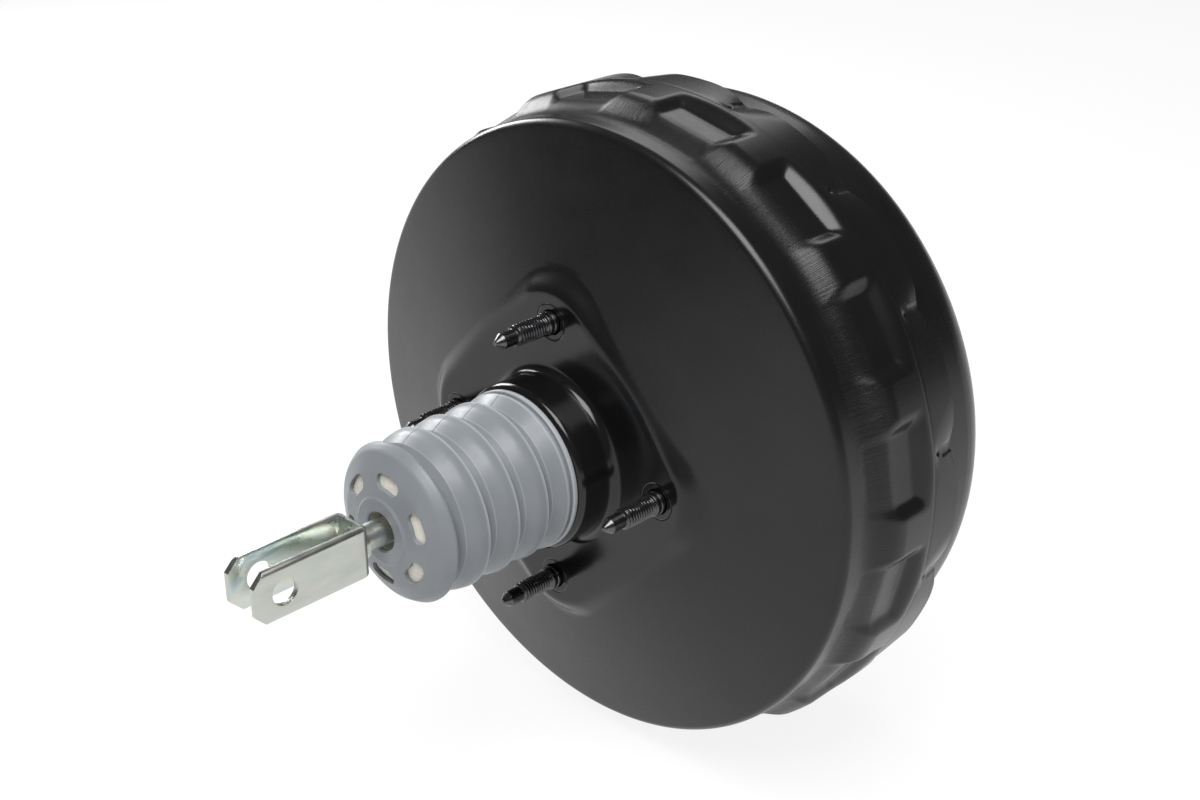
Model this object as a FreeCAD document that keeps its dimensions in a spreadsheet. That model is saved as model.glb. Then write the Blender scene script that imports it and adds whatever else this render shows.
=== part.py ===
import FreeCAD, Part
import Sketcher
import math
import os
import re

# Vacuum brake booster for a car: a pressed steel vacuum chamber with a pedal
# side neck and bellows, a diaphragm piston with its control valve inside, and
# the front face that carries the master cylinder.
# Frame: the booster axis is Y, the pedal is at -Y and the engine at +Y, Z is up.
# The origin lies on the axis in the plane of the pedal side mounting pad.
# Sketches of turned parts lie in the XY plane: x is the radius, y the place
# along the axis.

doc = FreeCAD.newDocument("brake_booster")
sheet = doc.addObject("Spreadsheet::Sheet", "Sizes")

# Driving dimensions, in millimetres and degrees
SIZES = [
    # rear shell, the stamped pedal side half of the chamber
    ("rear_gauge", 1.4),
    ("neck_radius", 32.7),
    ("neck_length", 17.0),
    ("neck_lip_bore", 27.0),
    ("neck_root_round", 4.0),
    ("neck_rim_round", 2.6),
    ("pad_half_width", 51.6),
    ("pad_corner_round", 19.0),
    ("wall_radius", 123.8),
    ("cone_depth", 19.7),
    ("wall_edge_round", 5.9),
    ("shoulder_start", 32.5),
    ("shoulder_end", 41.5),
    ("shoulder_round", 5.0),
    ("skirt_step", 7.0),
    ("skirt_end", 75.7),
    # pockets stamped into the skirt, which carry the diaphragm bead
    ("pocket_count", 16),
    ("pocket_phase", 10.0),
    ("pocket_depth", 4.8),
    ("pocket_floor_width", 26.5),
    ("pocket_ridge", 40.0),
    ("pocket_floor_end", 52.5),
    ("pocket_taper", 45.0),
    ("press_margin", 2.0),
    # crimps that lock the front shell into the skirt
    ("crimp_start", 60.5),
    ("crimp_half_width", 10.5),
    ("crimp_edge_depth", 2.0),
    ("crimp_root_depth", 1.2),
    ("lance_depth", 2.8),
    # front shell
    ("front_gauge", 1.6),
    ("front_step", 1.8),
    ("front_edge_round", 17.6),
    ("front_depth", 112.1),
    ("boss_slope_width", 14.0),
    ("boss_radius", 58.0),
    ("boss_height", 15.9),
    ("dish_round", 4.0),
    ("boss_round", 3.0),
    ("flange_round", 2.0),
    ("flange_clearance", 1.6),
    ("flange_front", 66.8),
    ("lance_clearance", 0.4),
    # diaphragm
    ("diaphragm_gauge", 1.8),
    ("bead_clearance", 0.1),
    ("roll_clearance", 1.2),
    ("roll_round", 6.0),
    # mounting on the bulkhead
    ("stud_circle_radius", 53.9),
    ("stud_radius", 4.0),
    ("stud_length", 27.6),
    ("stud_collar_radius", 4.5),
    ("stud_collar_length", 4.5),
    ("stud_press_radius", 5.0),
    ("stud_point_radius", 3.0),
    ("stud_point_length", 9.5),
    ("stud_tip_length", 3.0),
    ("stud_tip_radius", 1.0),
    ("stud_head_radius", 7.5),
    ("stud_head_length", 3.0),
    ("rear_plate_gauge", 3.0),
    ("rear_plate_hub_gap", 3.0),
    ("rear_plate_inset", 3.0),
    ("hole_clearance", 0.1),
    ("seat_gap", 0.05),
    # master cylinder mounting
    ("front_stud_half_spacing", 46.0),
    ("front_stud_length", 25.0),
    ("front_plate_gauge", 3.0),
    ("front_plate_inset", 3.7),
    ("front_bore", 26.0),
    ("ring_section", 3.4),
    ("ring_clearance", 0.2),
    # control housing, the moulded body in the middle of the piston
    ("tail_radius", 21.0),
    ("tail_bore", 18.4),
    ("tail_end", -70.0),
    ("hub_radius", 34.0),
    ("hub_rear", 3.0),
    ("hub_step", 9.0),
    ("land_radius", 30.0),
    ("land_end", 14.5),
    ("boss_outer", 26.0),
    ("nose_outer", 15.2),
    ("nose_end", 37.0),
    ("valve_floor", -13.0),
    ("vacuum_seat_height", 1.0),
    ("vacuum_seat_inner", 13.2),
    ("vacuum_seat_outer", 14.8),
    ("passage_radius", 1.4),
    ("passage_count", 4),
    ("passage_circle", 16.7),
    # running parts of the valve
    ("running_fit", 0.05),
    ("seat_slack", 0.05),
    ("plunger_radius", 8.0),
    ("plunger_front", 14.0),
    ("plunger_pin_radius", 5.0),
    ("plunger_neck_radius", 5.6),
    ("plunger_head_radius", 10.5),
    ("plunger_head_length", 3.0),
    ("valve_travel", 1.5),
    ("poppet_lift", 0.6),
    ("reaction_radius", 12.5),
    ("reaction_seat", 22.0),
    ("reaction_length", 7.0),
    ("reaction_gap", 1.7),
    ("key_gauge", 2.4),
    ("key_half_width", 8.4),
    ("key_reach", 40.0),
    ("key_place", 4.8),
    ("key_slack", 0.3),
    ("poppet_face_inner", 8.4),
    ("poppet_face_gauge", 2.4),
    ("poppet_wall_outer", 14.6),
    ("poppet_wall_gauge", 1.2),
    ("poppet_length", 18.0),
    ("poppet_bead_width", 3.0),
    ("retainer_gauge", 1.0),
    ("retainer_length", 5.0),
    ("retainer_bore", 10.2),
    ("poppet_spring_radius", 11.4),
    ("poppet_spring_wire", 1.3),
    ("poppet_spring_turns", 4),
    ("input_spring_radius", 12.6),
    ("input_spring_wire", 1.6),
    ("input_spring_turns", 4),
    # pedal rod and clevis
    ("rod_radius", 5.0),
    ("rod_neck_radius", 3.4),
    ("rod_shank_radius", 4.0),
    ("ball_radius", 5.0),
    ("ball_place", -6.0),
    ("rod_step", -50.0),
    ("rod_washer_radius", 14.2),
    ("rod_washer_gauge", 2.0),
    ("rod_collar_radius", 6.5),
    ("rod_collar_length", 1.8),
    ("rivet_radius", 6.4),
    ("rivet_height", 2.0),
    ("clevis_back", -94.2),
    ("clevis_length", 47.5),
    ("clevis_pin_reach", 35.4),
    ("clevis_pin_bore", 5.1),
    ("clevis_half_width", 8.3),
    ("clevis_half_height", 10.0),
    ("clevis_gauge", 2.3),
    ("clevis_bend_round", 2.6),
    ("clevis_corner", 4.6),
    ("clevis_heel_round", 1.8),
    # bellows
    ("boot_gauge", 1.7),
    ("boot_crest_radius", 30.6),
    ("boot_shoulder_drop", 1.0),
    ("boot_shoulder_length", 5.0),
    ("boot_valley_radius", 25.6),
    ("boot_return_length", 2.8),
    ("boot_pitch", 14.0),
    ("boot_last_crest", -31.2),
    ("boot_lip_step", 1.6),
    ("boot_lip_gauge", 2.0),
    ("boot_bead_step", 1.9),
    ("boot_rim_length", 1.6),
    ("boot_groove_length", 1.4),
    ("boot_groove_depth", 1.2),
    ("boot_hole_radius", 7.6),
    ("boot_ring_radius", 12.2),
    ("boot_ring_height", 0.8),
    ("boot_nose_gauge", 2.2),
    ("boot_cup_overhang", 4.7),
    ("boot_cup_length", 8.8),
    ("boot_cup_radius", 30.0),
    ("slot_count", 6),
    ("slot_circle", 19.0),
    ("slot_half_length", 5.2),
    ("slot_half_width", 2.7),
    ("slot_phase", 22.0),
    ("felt_gauge", 7.2),
    ("felt_overhang", 2.2),
    ("felt_crown", 2.4),
    ("felt_bore", 8.4),
    ("filter_length", 14.0),
    ("filter_bore", 8.0),
    # neck bearing and seal
    ("bush_length", 4.6),
    ("neck_seal_length", 5.0),
    ("neck_seal_gauge", 1.8),
    ("retainer_ring_gauge", 1.0),
    ("retainer_ring_bore", 25.0),
    # piston plate, springs and output rod
    ("plate_gauge", 1.4),
    ("plate_flat_radius", 64.0),
    ("plate_margin", 19.8),
    ("plate_rim", 7.0),
    ("spring_radius", 36.0),
    ("spring_wire", 3.6),
    ("spring_turns", 6.5),
    ("spring_closed_turn", 0.6),
    ("output_rod_radius", 5.2),
    ("output_head_length", 4.6),
    ("output_rod_inset", 12.0),
    ("output_tip_radius", 3.6),
    ("output_tip_reach", 3.0),
    ("output_tip_socket", 8.0),
    ("clip_gauge", 0.9),
    ("clip_bore", 7.4),
    # vacuum check valve on the front face
    ("check_inset", 34.8),
    ("check_angle", 36.6),
    ("check_hole_radius", 9.5),
    ("grommet_radius", 13.0),
    ("grommet_gauge", 2.4),
    ("check_stem_radius", 6.8),
    ("check_flange_radius", 11.5),
    ("check_flange_gauge", 2.6),
    ("check_chamber_radius", 9.6),
    ("check_chamber_length", 12.0),
    ("check_wall", 1.6),
    ("hose_radius", 5.6),
    ("hose_bore", 3.4),
    ("hose_length", 24.0),
    ("hose_barb", 1.1),
    ("hose_barb_length", 5.0),
    ("check_disc_radius", 6.6),
    ("check_disc_gauge", 1.6),
    ("check_spring_radius", 5.2),
    ("check_spring_wire", 0.8),
    ("check_spring_turns", 5),
]
# places and radii that follow from the sizes above
FOLLOWING = [
    ("skirt_radius", "=wall_radius + skirt_step"),
    ("pocket_floor_radius", "=skirt_radius - pocket_depth"),
    ("front_radius", "=wall_radius - front_step"),
    ("front_dish_radius", "=boss_radius + boss_slope_width"),
    ("boss_depth", "=front_depth + boss_height"),
    ("clevis_tip", "=clevis_back - clevis_length"),
    ("clevis_pin_place", "=clevis_back - clevis_pin_reach"),
    ("boot_cup_crest", "=tail_end - boot_cup_overhang"),
    ("plate_radius", "=wall_radius - plate_margin"),
    ("output_rod_end", "=boss_depth - output_rod_inset"),
    ("output_tip_end", "=boss_depth + output_tip_reach"),
    ("check_x", "=-1 * (front_radius - check_inset) * cos(check_angle)"),
    ("check_z", "=(front_radius - check_inset) * sin(check_angle)"),
]
for row, (name, size) in enumerate(SIZES + FOLLOWING, 1):
    sheet.set("A%d" % row, name)
    sheet.set("B%d" % row, str(size))
    sheet.setAlias("B%d" % row, name)
doc.recompute()
NAMES = {name for name, size in SIZES + FOLLOWING}


def bound(text):
    """Turns a formula of size names into one that reads the sheet."""
    def swap(found):
        word = found.group(0)
        return "Sizes." + word if word in NAMES else word
    return re.sub(r"[A-Za-z_]\w*", swap, str(text))


def value(text):
    """The present value of a formula of size names."""
    result = sheet.evalExpression(bound(text))
    return float(getattr(result, "Value", result))


def new_body(name):
    body = doc.addObject("PartDesign::Body", name)
    body.Label = name
    return body


def plane(body, role):
    return next(f for f in body.Origin.OriginFeatures if f.Role == role)


def new_sketch(body, name, role):
    sketch = body.newObject("Sketcher::SketchObject", name)
    sketch.AttachmentSupport = [(plane(body, role), "")]
    sketch.MapMode = "FlatFace"
    return sketch


def pin(sketch, geometry, position, x, y):
    """Fixes one point of the sketch at formulas x and y."""
    for kind, formula in (("DistanceX", x), ("DistanceY", y)):
        index = sketch.addConstraint(
            Sketcher.Constraint(kind, -1, 1, geometry, position, value(formula)))
        sketch.setExpression("Constraints[%d]" % index, bound(formula))


def outline(sketch, points):
    """A closed outline of straight lines through points given as formulas."""
    spots = [FreeCAD.Vector(value(x), value(y), 0) for x, y in points]
    first = sketch.GeometryCount
    count = len(spots)
    for k in range(count):
        sketch.addGeometry(Part.LineSegment(spots[k], spots[(k + 1) % count]), False)
    for k in range(count):
        after = first + (k + 1) % count
        sketch.addConstraint(Sketcher.Constraint("Coincident", first + k, 2, after, 1))
        pin(sketch, first + k, 1, *points[k])


def circle(sketch, x, y, radius):
    centre = FreeCAD.Vector(value(x), value(y), 0)
    circle_shape = Part.Circle(centre, FreeCAD.Vector(0, 0, 1), value(radius))
    index = sketch.addGeometry(circle_shape, False)
    rule = sketch.addConstraint(Sketcher.Constraint("Radius", index, value(radius)))
    sketch.setExpression("Constraints[%d]" % rule, bound(radius))
    pin(sketch, index, 3, x, y)


def revolve(body, name, points, kind="PartDesign::Revolution", about="V_Axis"):
    sketch = new_sketch(body, name + "_profile", "XY_Plane")
    outline(sketch, points)
    feature = body.newObject(kind, name)
    feature.Profile = sketch
    feature.ReferenceAxis = (sketch, [about])
    feature.Angle = 360
    return feature


def turned(name, points):
    """A body made by one revolution of an outline about the booster axis."""
    body = new_body(name)
    revolve(body, name + "_form", points)
    doc.recompute()
    return body


def rings(feature, wanted):
    """Names of the circular edges at the given radius and place on the axis."""
    found = []
    for radius, place in wanted:
        for index, edge in enumerate(feature.Shape.Edges, 1):
            curve = edge.Curve
            if not isinstance(curve, Part.Circle):
                continue
            near = abs(curve.Radius - value(radius)) < 0.02
            level = abs(curve.Center.y - value(place)) < 0.02
            if near and level:
                found.append("Edge%d" % index)
    return found


def fillet(body, name, base, wanted, radius):
    feature = body.newObject("PartDesign::Fillet", name)
    feature.Base = (base, rings(base, wanted))
    feature.setExpression("Radius", bound(radius))
    body.Tip = feature
    doc.recompute()
    return feature


def extrude(body, name, kind, sketch, length, both=False, reverse=False):
    feature = body.newObject(kind, name)
    feature.Profile = sketch
    feature.Midplane = both
    feature.Reversed = reverse
    feature.setExpression("Length", bound(length))
    return feature


def polar(body, name, features, count):
    pattern = body.newObject("PartDesign::PolarPattern", name)
    pattern.Originals = features
    pattern.Axis = (plane(body, "Y_Axis"), [""])
    pattern.Angle = 360
    pattern.setExpression("Occurrences", bound(count))
    body.Tip = pattern
    doc.recompute()
    return pattern


def turn_to_phase(sketch, phase, radius="0"):
    """Turns a sketch plane about the booster axis, and moves it out to a radius."""
    on_yz = sketch.AttachmentSupport[0][0].Role == "YZ_Plane"
    axis = FreeCAD.Vector(1, 0, 0) if on_yz else FreeCAD.Vector(0, 1, 0)
    sketch.AttachmentOffset = FreeCAD.Placement(
        FreeCAD.Vector(0, 0, 0), FreeCAD.Rotation(axis, -value(phase)))
    sketch.setExpression("AttachmentOffset.Rotation.Angle", bound("-1 * (%s)" % phase))
    if on_yz:
        sketch.setExpression(
            "AttachmentOffset.Base.y", bound("(%s) * sin(%s)" % (radius, phase)))
        sketch.setExpression(
            "AttachmentOffset.Base.z", bound("(%s) * cos(%s)" % (radius, phase)))


# Rear shell
# It is the pressed outer form less the same form moved in by the gauge of the
# sheet, so pockets and crimps stand in on the inside as they do on the outside.
SLOPE = "(cone_depth / (wall_radius - pad_half_width))"
RISE = "atan((skirt_radius - wall_radius) / (shoulder_end - shoulder_start))"


def pressed_form(name, inset):
    """The rear shell's form as a solid; inset moves every face in by that much."""
    body = new_body(name)
    cone_shift = "(%s * sqrt(1 + %s^2))" % (inset, SLOPE)
    bend_shift = "(%s * tan(%s / 2))" % (inset, RISE)
    pad_edge = "(pad_half_width - %s / 2)" % inset
    points = [
        ("0", "-1 * neck_length + %s" % inset),
        ("neck_radius - %s" % inset, "-1 * neck_length + %s" % inset),
        ("neck_radius - %s" % inset, inset),
        (pad_edge, "%s" % inset),
        ("wall_radius - %s" % inset,
         "cone_depth + %s - %s * %s" % (cone_shift, inset, SLOPE)),
        ("wall_radius - %s" % inset, "shoulder_start + %s" % bend_shift),
        ("skirt_radius - %s" % inset, "shoulder_end + %s" % bend_shift),
        ("skirt_radius - %s" % inset, "skirt_end + 3 * (%s)" % inset),
        ("0", "skirt_end + 3 * (%s)" % inset),
    ]
    form = revolve(body, name + "_form", points)
    doc.recompute()

    # the square mounting pad stands on one corner; its corners rise from the cone
    sketch = new_sketch(body, name + "_pad_outline", "XZ_Plane")
    half = "(pad_half_width - %s)" % inset
    round_corner = "(pad_corner_round - %s)" % inset
    flat_end = "%s - %s" % (half, round_corner)
    rounded_square(sketch, half, flat_end)
    pad = extrude(body, name + "_pad", "PartDesign::Pad", sketch, "cone_depth / 2",
                  reverse=True)
    sketch.setExpression("AttachmentOffset.Base.z", bound("-1 * (%s)" % inset))
    body.Tip = pad
    doc.recompute()
    return body, form, pad


def rounded_square(sketch, half, flat_end):
    """A square standing on one corner, its corners rounded by arcs."""
    turn = FreeCAD.Rotation(FreeCAD.Vector(0, 0, 1), 45)
    sides = []
    for quarter in range(4):
        spin = FreeCAD.Rotation(FreeCAD.Vector(0, 0, 1), 90 * quarter)
        spots = [FreeCAD.Vector(value(half), -value(flat_end), 0),
                 FreeCAD.Vector(value(half), value(flat_end), 0)]
        spots = [spin.multVec(turn.multVec(spot)) for spot in spots]
        sides.append(sketch.addGeometry(Part.LineSegment(*spots), False))
    corners = []
    for quarter in range(4):
        spin = FreeCAD.Rotation(FreeCAD.Vector(0, 0, 1), 90 * quarter)
        centre = FreeCAD.Vector(value(flat_end), value(flat_end), 0)
        centre = spin.multVec(turn.multVec(centre))
        bend = Part.Circle(centre, FreeCAD.Vector(0, 0, 1),
                           value(half) - value(flat_end))
        start = math.radians(45 + 90 * quarter)
        arc = Part.ArcOfCircle(bend, start, start + math.pi / 2)
        corners.append(sketch.addGeometry(arc, False))
    for quarter in range(4):
        side, corner = sides[quarter], corners[quarter]
        after = sides[(quarter + 1) % 4]
        sketch.addConstraint(Sketcher.Constraint("Tangent", side, 2, corner, 1))
        sketch.addConstraint(Sketcher.Constraint("Tangent", corner, 2, after, 1))
    for quarter in range(3):
        sketch.addConstraint(
            Sketcher.Constraint("Equal", corners[quarter], corners[quarter + 1]))
    place = "(%s) * sqrt(2)" % flat_end
    pin(sketch, corners[0], 3, "0", place)
    pin(sketch, corners[1], 3, "-1 * (%s)" % place, "0")
    pin(sketch, corners[2], 3, "0", "-1 * (%s)" % place)
    rule = sketch.addConstraint(Sketcher.Constraint(
        "Radius", corners[0], value("%s - (%s)" % (half, flat_end))))
    sketch.setExpression("Constraints[%d]" % rule, bound("%s - (%s)" % (half, flat_end)))


def soften(body, name, pad, inset):
    """Rounds the neck, the edge of the wall and the shoulder of the form."""
    cone_shift = "(%s * sqrt(1 + %s^2))" % (inset, SLOPE)
    bend_shift = "(%s * tan(%s / 2))" % (inset, RISE)
    tight = "neck_rim_round - %s" % inset
    base = fillet(body, name + "_neck_rim", pad,
                  [("neck_radius - %s" % inset, "-1 * neck_length + %s" % inset)], tight)
    base = fillet(body, name + "_neck_root", base,
                  [("neck_radius - %s" % inset, inset)], "neck_root_round + %s" % inset)
    base = fillet(body, name + "_wall_edge", base,
                  [("wall_radius - %s" % inset,
                    "cone_depth + %s - %s * %s" % (cone_shift, inset, SLOPE))],
                  "wall_edge_round - %s" % inset)
    base = fillet(body, name + "_shoulder_foot", base,
                  [("wall_radius - %s" % inset, "shoulder_start + %s" % bend_shift)],
                  "shoulder_round + %s" % inset)
    base = fillet(body, name + "_shoulder_top", base,
                  [("skirt_radius - %s" % inset, "shoulder_end + %s" % bend_shift)],
                  "shoulder_round - %s" % inset)
    return base


def press_pockets(body, name, inset):
    """Stamps the ring of pockets and crimps into the form."""
    reach = "(skirt_radius + press_margin)"
    spread = "((%s - pocket_floor_radius) * tan(pocket_taper) + %s / cos(pocket_taper))" % (
        reach, inset)
    sketch = new_sketch(body, name + "_pocket_mouth", "YZ_Plane")
    turn_to_phase(sketch, "pocket_phase", reach)
    half = "(pocket_floor_width / 2 + %s)" % spread
    rear = "(shoulder_start - %s)" % spread
    front = "(pocket_floor_end + %s)" % spread
    outline(sketch, [(rear, "-1 * %s" % half), (front, "-1 * %s" % half),
                     (front, half), (rear, half)])
    pocket = extrude(body, name + "_pocket", "PartDesign::Pocket", sketch,
                     "%s - pocket_floor_radius + %s" % (reach, inset))
    pocket.setExpression("TaperAngle", bound("-1 * pocket_taper"))
    body.Tip = pocket
    doc.recompute()

    # behind the pocket its floor runs down to the wall as a shallow ramp
    sketch = new_sketch(body, name + "_ramp_section", "XY_Plane")
    turn_to_phase(sketch, "pocket_phase")
    low = "(wall_radius - %s)" % inset
    high = "(pocket_floor_radius - %s)" % inset
    outline(sketch, [(low, "shoulder_start"), (high, "pocket_ridge + %s / 4" % inset),
                     ("%s + 0.6" % high, "pocket_ridge + %s / 4" % inset),
                     ("%s + 0.6" % high, "shoulder_start")])
    ramp = extrude(body, name + "_ramp", "PartDesign::Pocket", sketch,
                   "pocket_floor_width + %s" % inset, both=True)
    body.Tip = ramp
    doc.recompute()

    # the crimp: a shallow valley that widens towards the edge, and the lanced
    # tongue in front of it, pressed further in to hold the front shell's flange
    lance = "(flange_front + lance_clearance)"
    root = valley(body, name + "_crimp_root", "crimp_start", lance, inset,
                  ("0.05", "crimp_root_depth"), ("0.3", "crimp_half_width"))
    tongue = valley(body, name + "_crimp_tongue", lance,
                    "skirt_end + 4 * rear_gauge", inset,
                    ("lance_depth", "crimp_edge_depth"),
                    ("crimp_half_width", "crimp_half_width"))
    return [pocket, ramp, root, tongue]


def valley(body, name, start, end, inset, depths, widths):
    """Cuts a V shaped valley along the skirt between two places on the axis."""
    sections = []
    for k, place in enumerate((start, end)):
        sketch = new_sketch(body, "%s_section%d" % (name, k + 1), "XZ_Plane")
        spin = FreeCAD.Rotation(FreeCAD.Vector(0, 0, 1), value("pocket_phase"))
        sketch.AttachmentOffset = FreeCAD.Placement(
            FreeCAD.Vector(0, 0, -value(place)), spin)
        sketch.setExpression("AttachmentOffset.Base.z", bound("-1 * (%s)" % place))
        sketch.setExpression("AttachmentOffset.Rotation.Angle", bound("pocket_phase"))
        half = "(%s + %s / 3)" % (widths[k], inset)
        brim = "sqrt((skirt_radius - %s)^2 - (%s)^2)" % (inset, half)
        deep = "skirt_radius - %s - %s" % (inset, depths[k])
        out = "skirt_radius + press_margin"
        outline(sketch, [(deep, "0"), (brim, half), (out, half),
                         (out, "-1 * %s" % half), (brim, "-1 * %s" % half)])
        sections.append(sketch)
    loft = body.newObject("PartDesign::SubtractiveLoft", name)
    loft.Profile = sections[0]
    loft.Sections = [sections[1]]
    loft.Ruled = True
    body.Tip = loft
    doc.recompute()
    return loft


def ring_of_holes(body, name, circle_radius, radius, start, length, count, phase):
    """Round bars parallel to the axis, added to the solid of a hollow."""
    sketch = new_sketch(body, name + "_circle", "XZ_Plane")
    sketch.setExpression("AttachmentOffset.Base.z", bound("-1 * (%s)" % start))
    circle(sketch, "(%s) * cos(%s)" % (circle_radius, phase),
           "(%s) * sin(%s)" % (circle_radius, phase), radius)
    bar = extrude(body, name, "PartDesign::Pad", sketch, length, reverse=True)
    body.Tip = bar
    doc.recompute()
    return polar(body, name + "s", [bar], count)


outer, form, pad = pressed_form("rear_shell_form", "0")
outer_base = soften(outer, "rear_shell_form", pad, "0")
polar(outer, "rear_shell_form_crown",
      press_pockets(outer, "rear_shell_form", "0"), "pocket_count")

inner, form, pad = pressed_form("rear_shell_hollow", "rear_gauge")
inner_base = soften(inner, "rear_shell_hollow", pad, "rear_gauge")
crown = press_pockets(inner, "rear_shell_hollow", "rear_gauge")
polar(inner, "rear_shell_hollow_crown", crown, "pocket_count")
add_neck = new_sketch(inner, "rear_shell_hollow_neck_circle", "XZ_Plane")
add_neck.setExpression("AttachmentOffset.Base.z", bound("neck_length + press_margin"))
circle(add_neck, "0", "0", "neck_lip_bore")
neck_hole = extrude(inner, "rear_shell_hollow_neck_hole", "PartDesign::Pad", add_neck,
                    "press_margin + 2 * rear_gauge", reverse=True)
inner.Tip = neck_hole
doc.recompute()
ring_of_holes(inner, "rear_shell_hollow_stud_hole", "stud_circle_radius",
              "stud_press_radius + hole_clearance", "-1 * press_margin",
              "press_margin + 2 * rear_gauge", "4", "0")
rear_shell = doc.addObject("Part::Cut", "rear_shell")
rear_shell.Label = "rear_shell"
rear_shell.Base = outer
rear_shell.Tool = inner
doc.recompute()
parts = [rear_shell]


def keep(body):
    parts.append(body)
    return body


def plate_sketch(name, start, circles):
    """A sketch across the axis with circles given as (x, z, radius)."""
    body = new_body(name)
    sketch = new_sketch(body, name + "_outline", "XZ_Plane")
    sketch.setExpression("AttachmentOffset.Base.z", bound("-1 * (%s)" % start))
    for x, z, radius in circles:
        circle(sketch, x, z, radius)
    return body, sketch


# Reinforcement plate behind the pad, and the four studs pressed through both
rear_plate, sketch = plate_sketch(
    "rear_plate", "rear_gauge + seat_gap",
    [("0", "0", "hub_radius + rear_plate_hub_gap"),
     ("stud_circle_radius", "0", "stud_press_radius + hole_clearance"),
     ("-1 * stud_circle_radius", "0", "stud_press_radius + hole_clearance"),
     ("0", "stud_circle_radius", "stud_press_radius + hole_clearance"),
     ("0", "-1 * stud_circle_radius", "stud_press_radius + hole_clearance")])
half = "(pad_half_width - rear_plate_inset)"
rounded_square(sketch, half, "%s - (pad_corner_round - rear_plate_inset)" % half)
rear_plate.Tip = extrude(rear_plate, "rear_plate_form", "PartDesign::Pad", sketch,
                         "rear_plate_gauge", reverse=True)
keep(rear_plate)

STUD_BACK = "(rear_gauge + rear_plate_gauge + 2 * seat_gap)"


def stud_set(name, points, circle_radius, count):
    """Studs standing in a ring about the axis, each turned about its own axis."""
    body = new_body(name)
    sketch = new_sketch(body, name + "_profile", "XY_Plane")
    outline(sketch, [("%s + %s" % (circle_radius, x), y) for x, y in points])
    spot = FreeCAD.Vector(value(circle_radius), 0, 0)
    away = FreeCAD.Vector(value(circle_radius), 10, 0)
    line = sketch.addGeometry(Part.LineSegment(spot, away), True)
    pin(sketch, line, 1, circle_radius, "0")
    pin(sketch, line, 2, circle_radius, "10")
    feature = body.newObject("PartDesign::Revolution", name + "_stud")
    feature.Profile = sketch
    feature.ReferenceAxis = (sketch, ["Axis0"])
    feature.Angle = 360
    body.Tip = feature
    doc.recompute()
    polar(body, name + "_ring", [feature], count)
    return body


keep(stud_set("rear_studs", [
    ("0", "%s + stud_head_length" % STUD_BACK),
    ("stud_head_radius", "%s + stud_head_length" % STUD_BACK),
    ("stud_head_radius", STUD_BACK),
    ("stud_press_radius", STUD_BACK),
    ("stud_press_radius", "0"),
    ("stud_collar_radius", "0"),
    ("stud_collar_radius", "-1 * stud_collar_length"),
    ("stud_radius", "-1 * stud_collar_length"),
    ("stud_radius", "stud_point_length - stud_length"),
    ("stud_point_radius",
     "stud_point_length - stud_length - (stud_radius - stud_point_radius)"),
    ("stud_point_radius", "stud_tip_length - stud_length"),
    ("stud_tip_radius", "-1 * stud_length"),
    ("0", "-1 * stud_length"),
], "stud_circle_radius", "4"))

# Front shell, the engine side half, held in the skirt by its flange
FLANGE = "(skirt_radius - rear_gauge - flange_clearance)"
FLANGE_REAR = "(flange_front - front_gauge)"
BOSS_ANGLE = "atan((boss_depth - front_depth) / (front_dish_radius - boss_radius))"
BOSS_SHIFT = "(front_gauge * tan(%s / 2))" % BOSS_ANGLE
RING_HOLE = "(front_bore + ring_section + ring_clearance)"
front_shell = new_body("front_shell")
form = revolve(front_shell, "front_shell_form", [
    (FLANGE, FLANGE_REAR),
    (FLANGE, "flange_front"),
    ("front_radius", "flange_front"),
    ("front_radius", "front_depth"),
    ("front_dish_radius", "front_depth"),
    ("boss_radius", "boss_depth"),
    (RING_HOLE, "boss_depth"),
    (RING_HOLE, "boss_depth - front_gauge"),
    ("boss_radius - %s" % BOSS_SHIFT, "boss_depth - front_gauge"),
    ("front_dish_radius - %s" % BOSS_SHIFT, "front_depth - front_gauge"),
    ("front_radius - front_gauge", "front_depth - front_gauge"),
    ("front_radius - front_gauge", FLANGE_REAR),
])
front_shell.Tip = form
doc.recompute()
base = form
for name, radius, place, bend in (
        ("corner", "front_radius", "front_depth", "front_edge_round"),
        ("corner_inside", "front_radius - front_gauge", "front_depth - front_gauge",
         "front_edge_round - front_gauge"),
        ("dish", "front_dish_radius", "front_depth", "dish_round"),
        ("dish_inside", "front_dish_radius - %s" % BOSS_SHIFT,
         "front_depth - front_gauge", "dish_round + front_gauge"),
        ("boss", "boss_radius", "boss_depth", "boss_round"),
        ("boss_inside", "boss_radius - %s" % BOSS_SHIFT, "boss_depth - front_gauge",
         "boss_round - front_gauge"),
        ("flange_root", "front_radius", "flange_front", "flange_round"),
        ("flange_heel", "front_radius - front_gauge", FLANGE_REAR,
         "flange_round + front_gauge")):
    base = fillet(front_shell, "front_shell_" + name, base, [(radius, place)], bend)
sketch = new_sketch(front_shell, "front_shell_stud_circles", "XZ_Plane")
sketch.setExpression("AttachmentOffset.Base.z", bound("-1 * (boss_depth + press_margin)"))
circle(sketch, "front_stud_half_spacing", "0", "stud_press_radius + hole_clearance")
circle(sketch, "-1 * front_stud_half_spacing", "0", "stud_press_radius + hole_clearance")
extrude(front_shell, "front_shell_stud_holes", "PartDesign::Pocket", sketch,
        "press_margin + 3 * front_gauge", reverse=True)
sketch = new_sketch(front_shell, "front_shell_check_circle", "XZ_Plane")
sketch.setExpression("AttachmentOffset.Base.z", bound("-1 * (front_depth + press_margin)"))
circle(sketch, "check_x", "check_z", "check_hole_radius")
front_shell.Tip = extrude(front_shell, "front_shell_check_hole", "PartDesign::Pocket",
                          sketch, "press_margin + 3 * front_gauge", reverse=True)
keep(front_shell)

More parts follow.
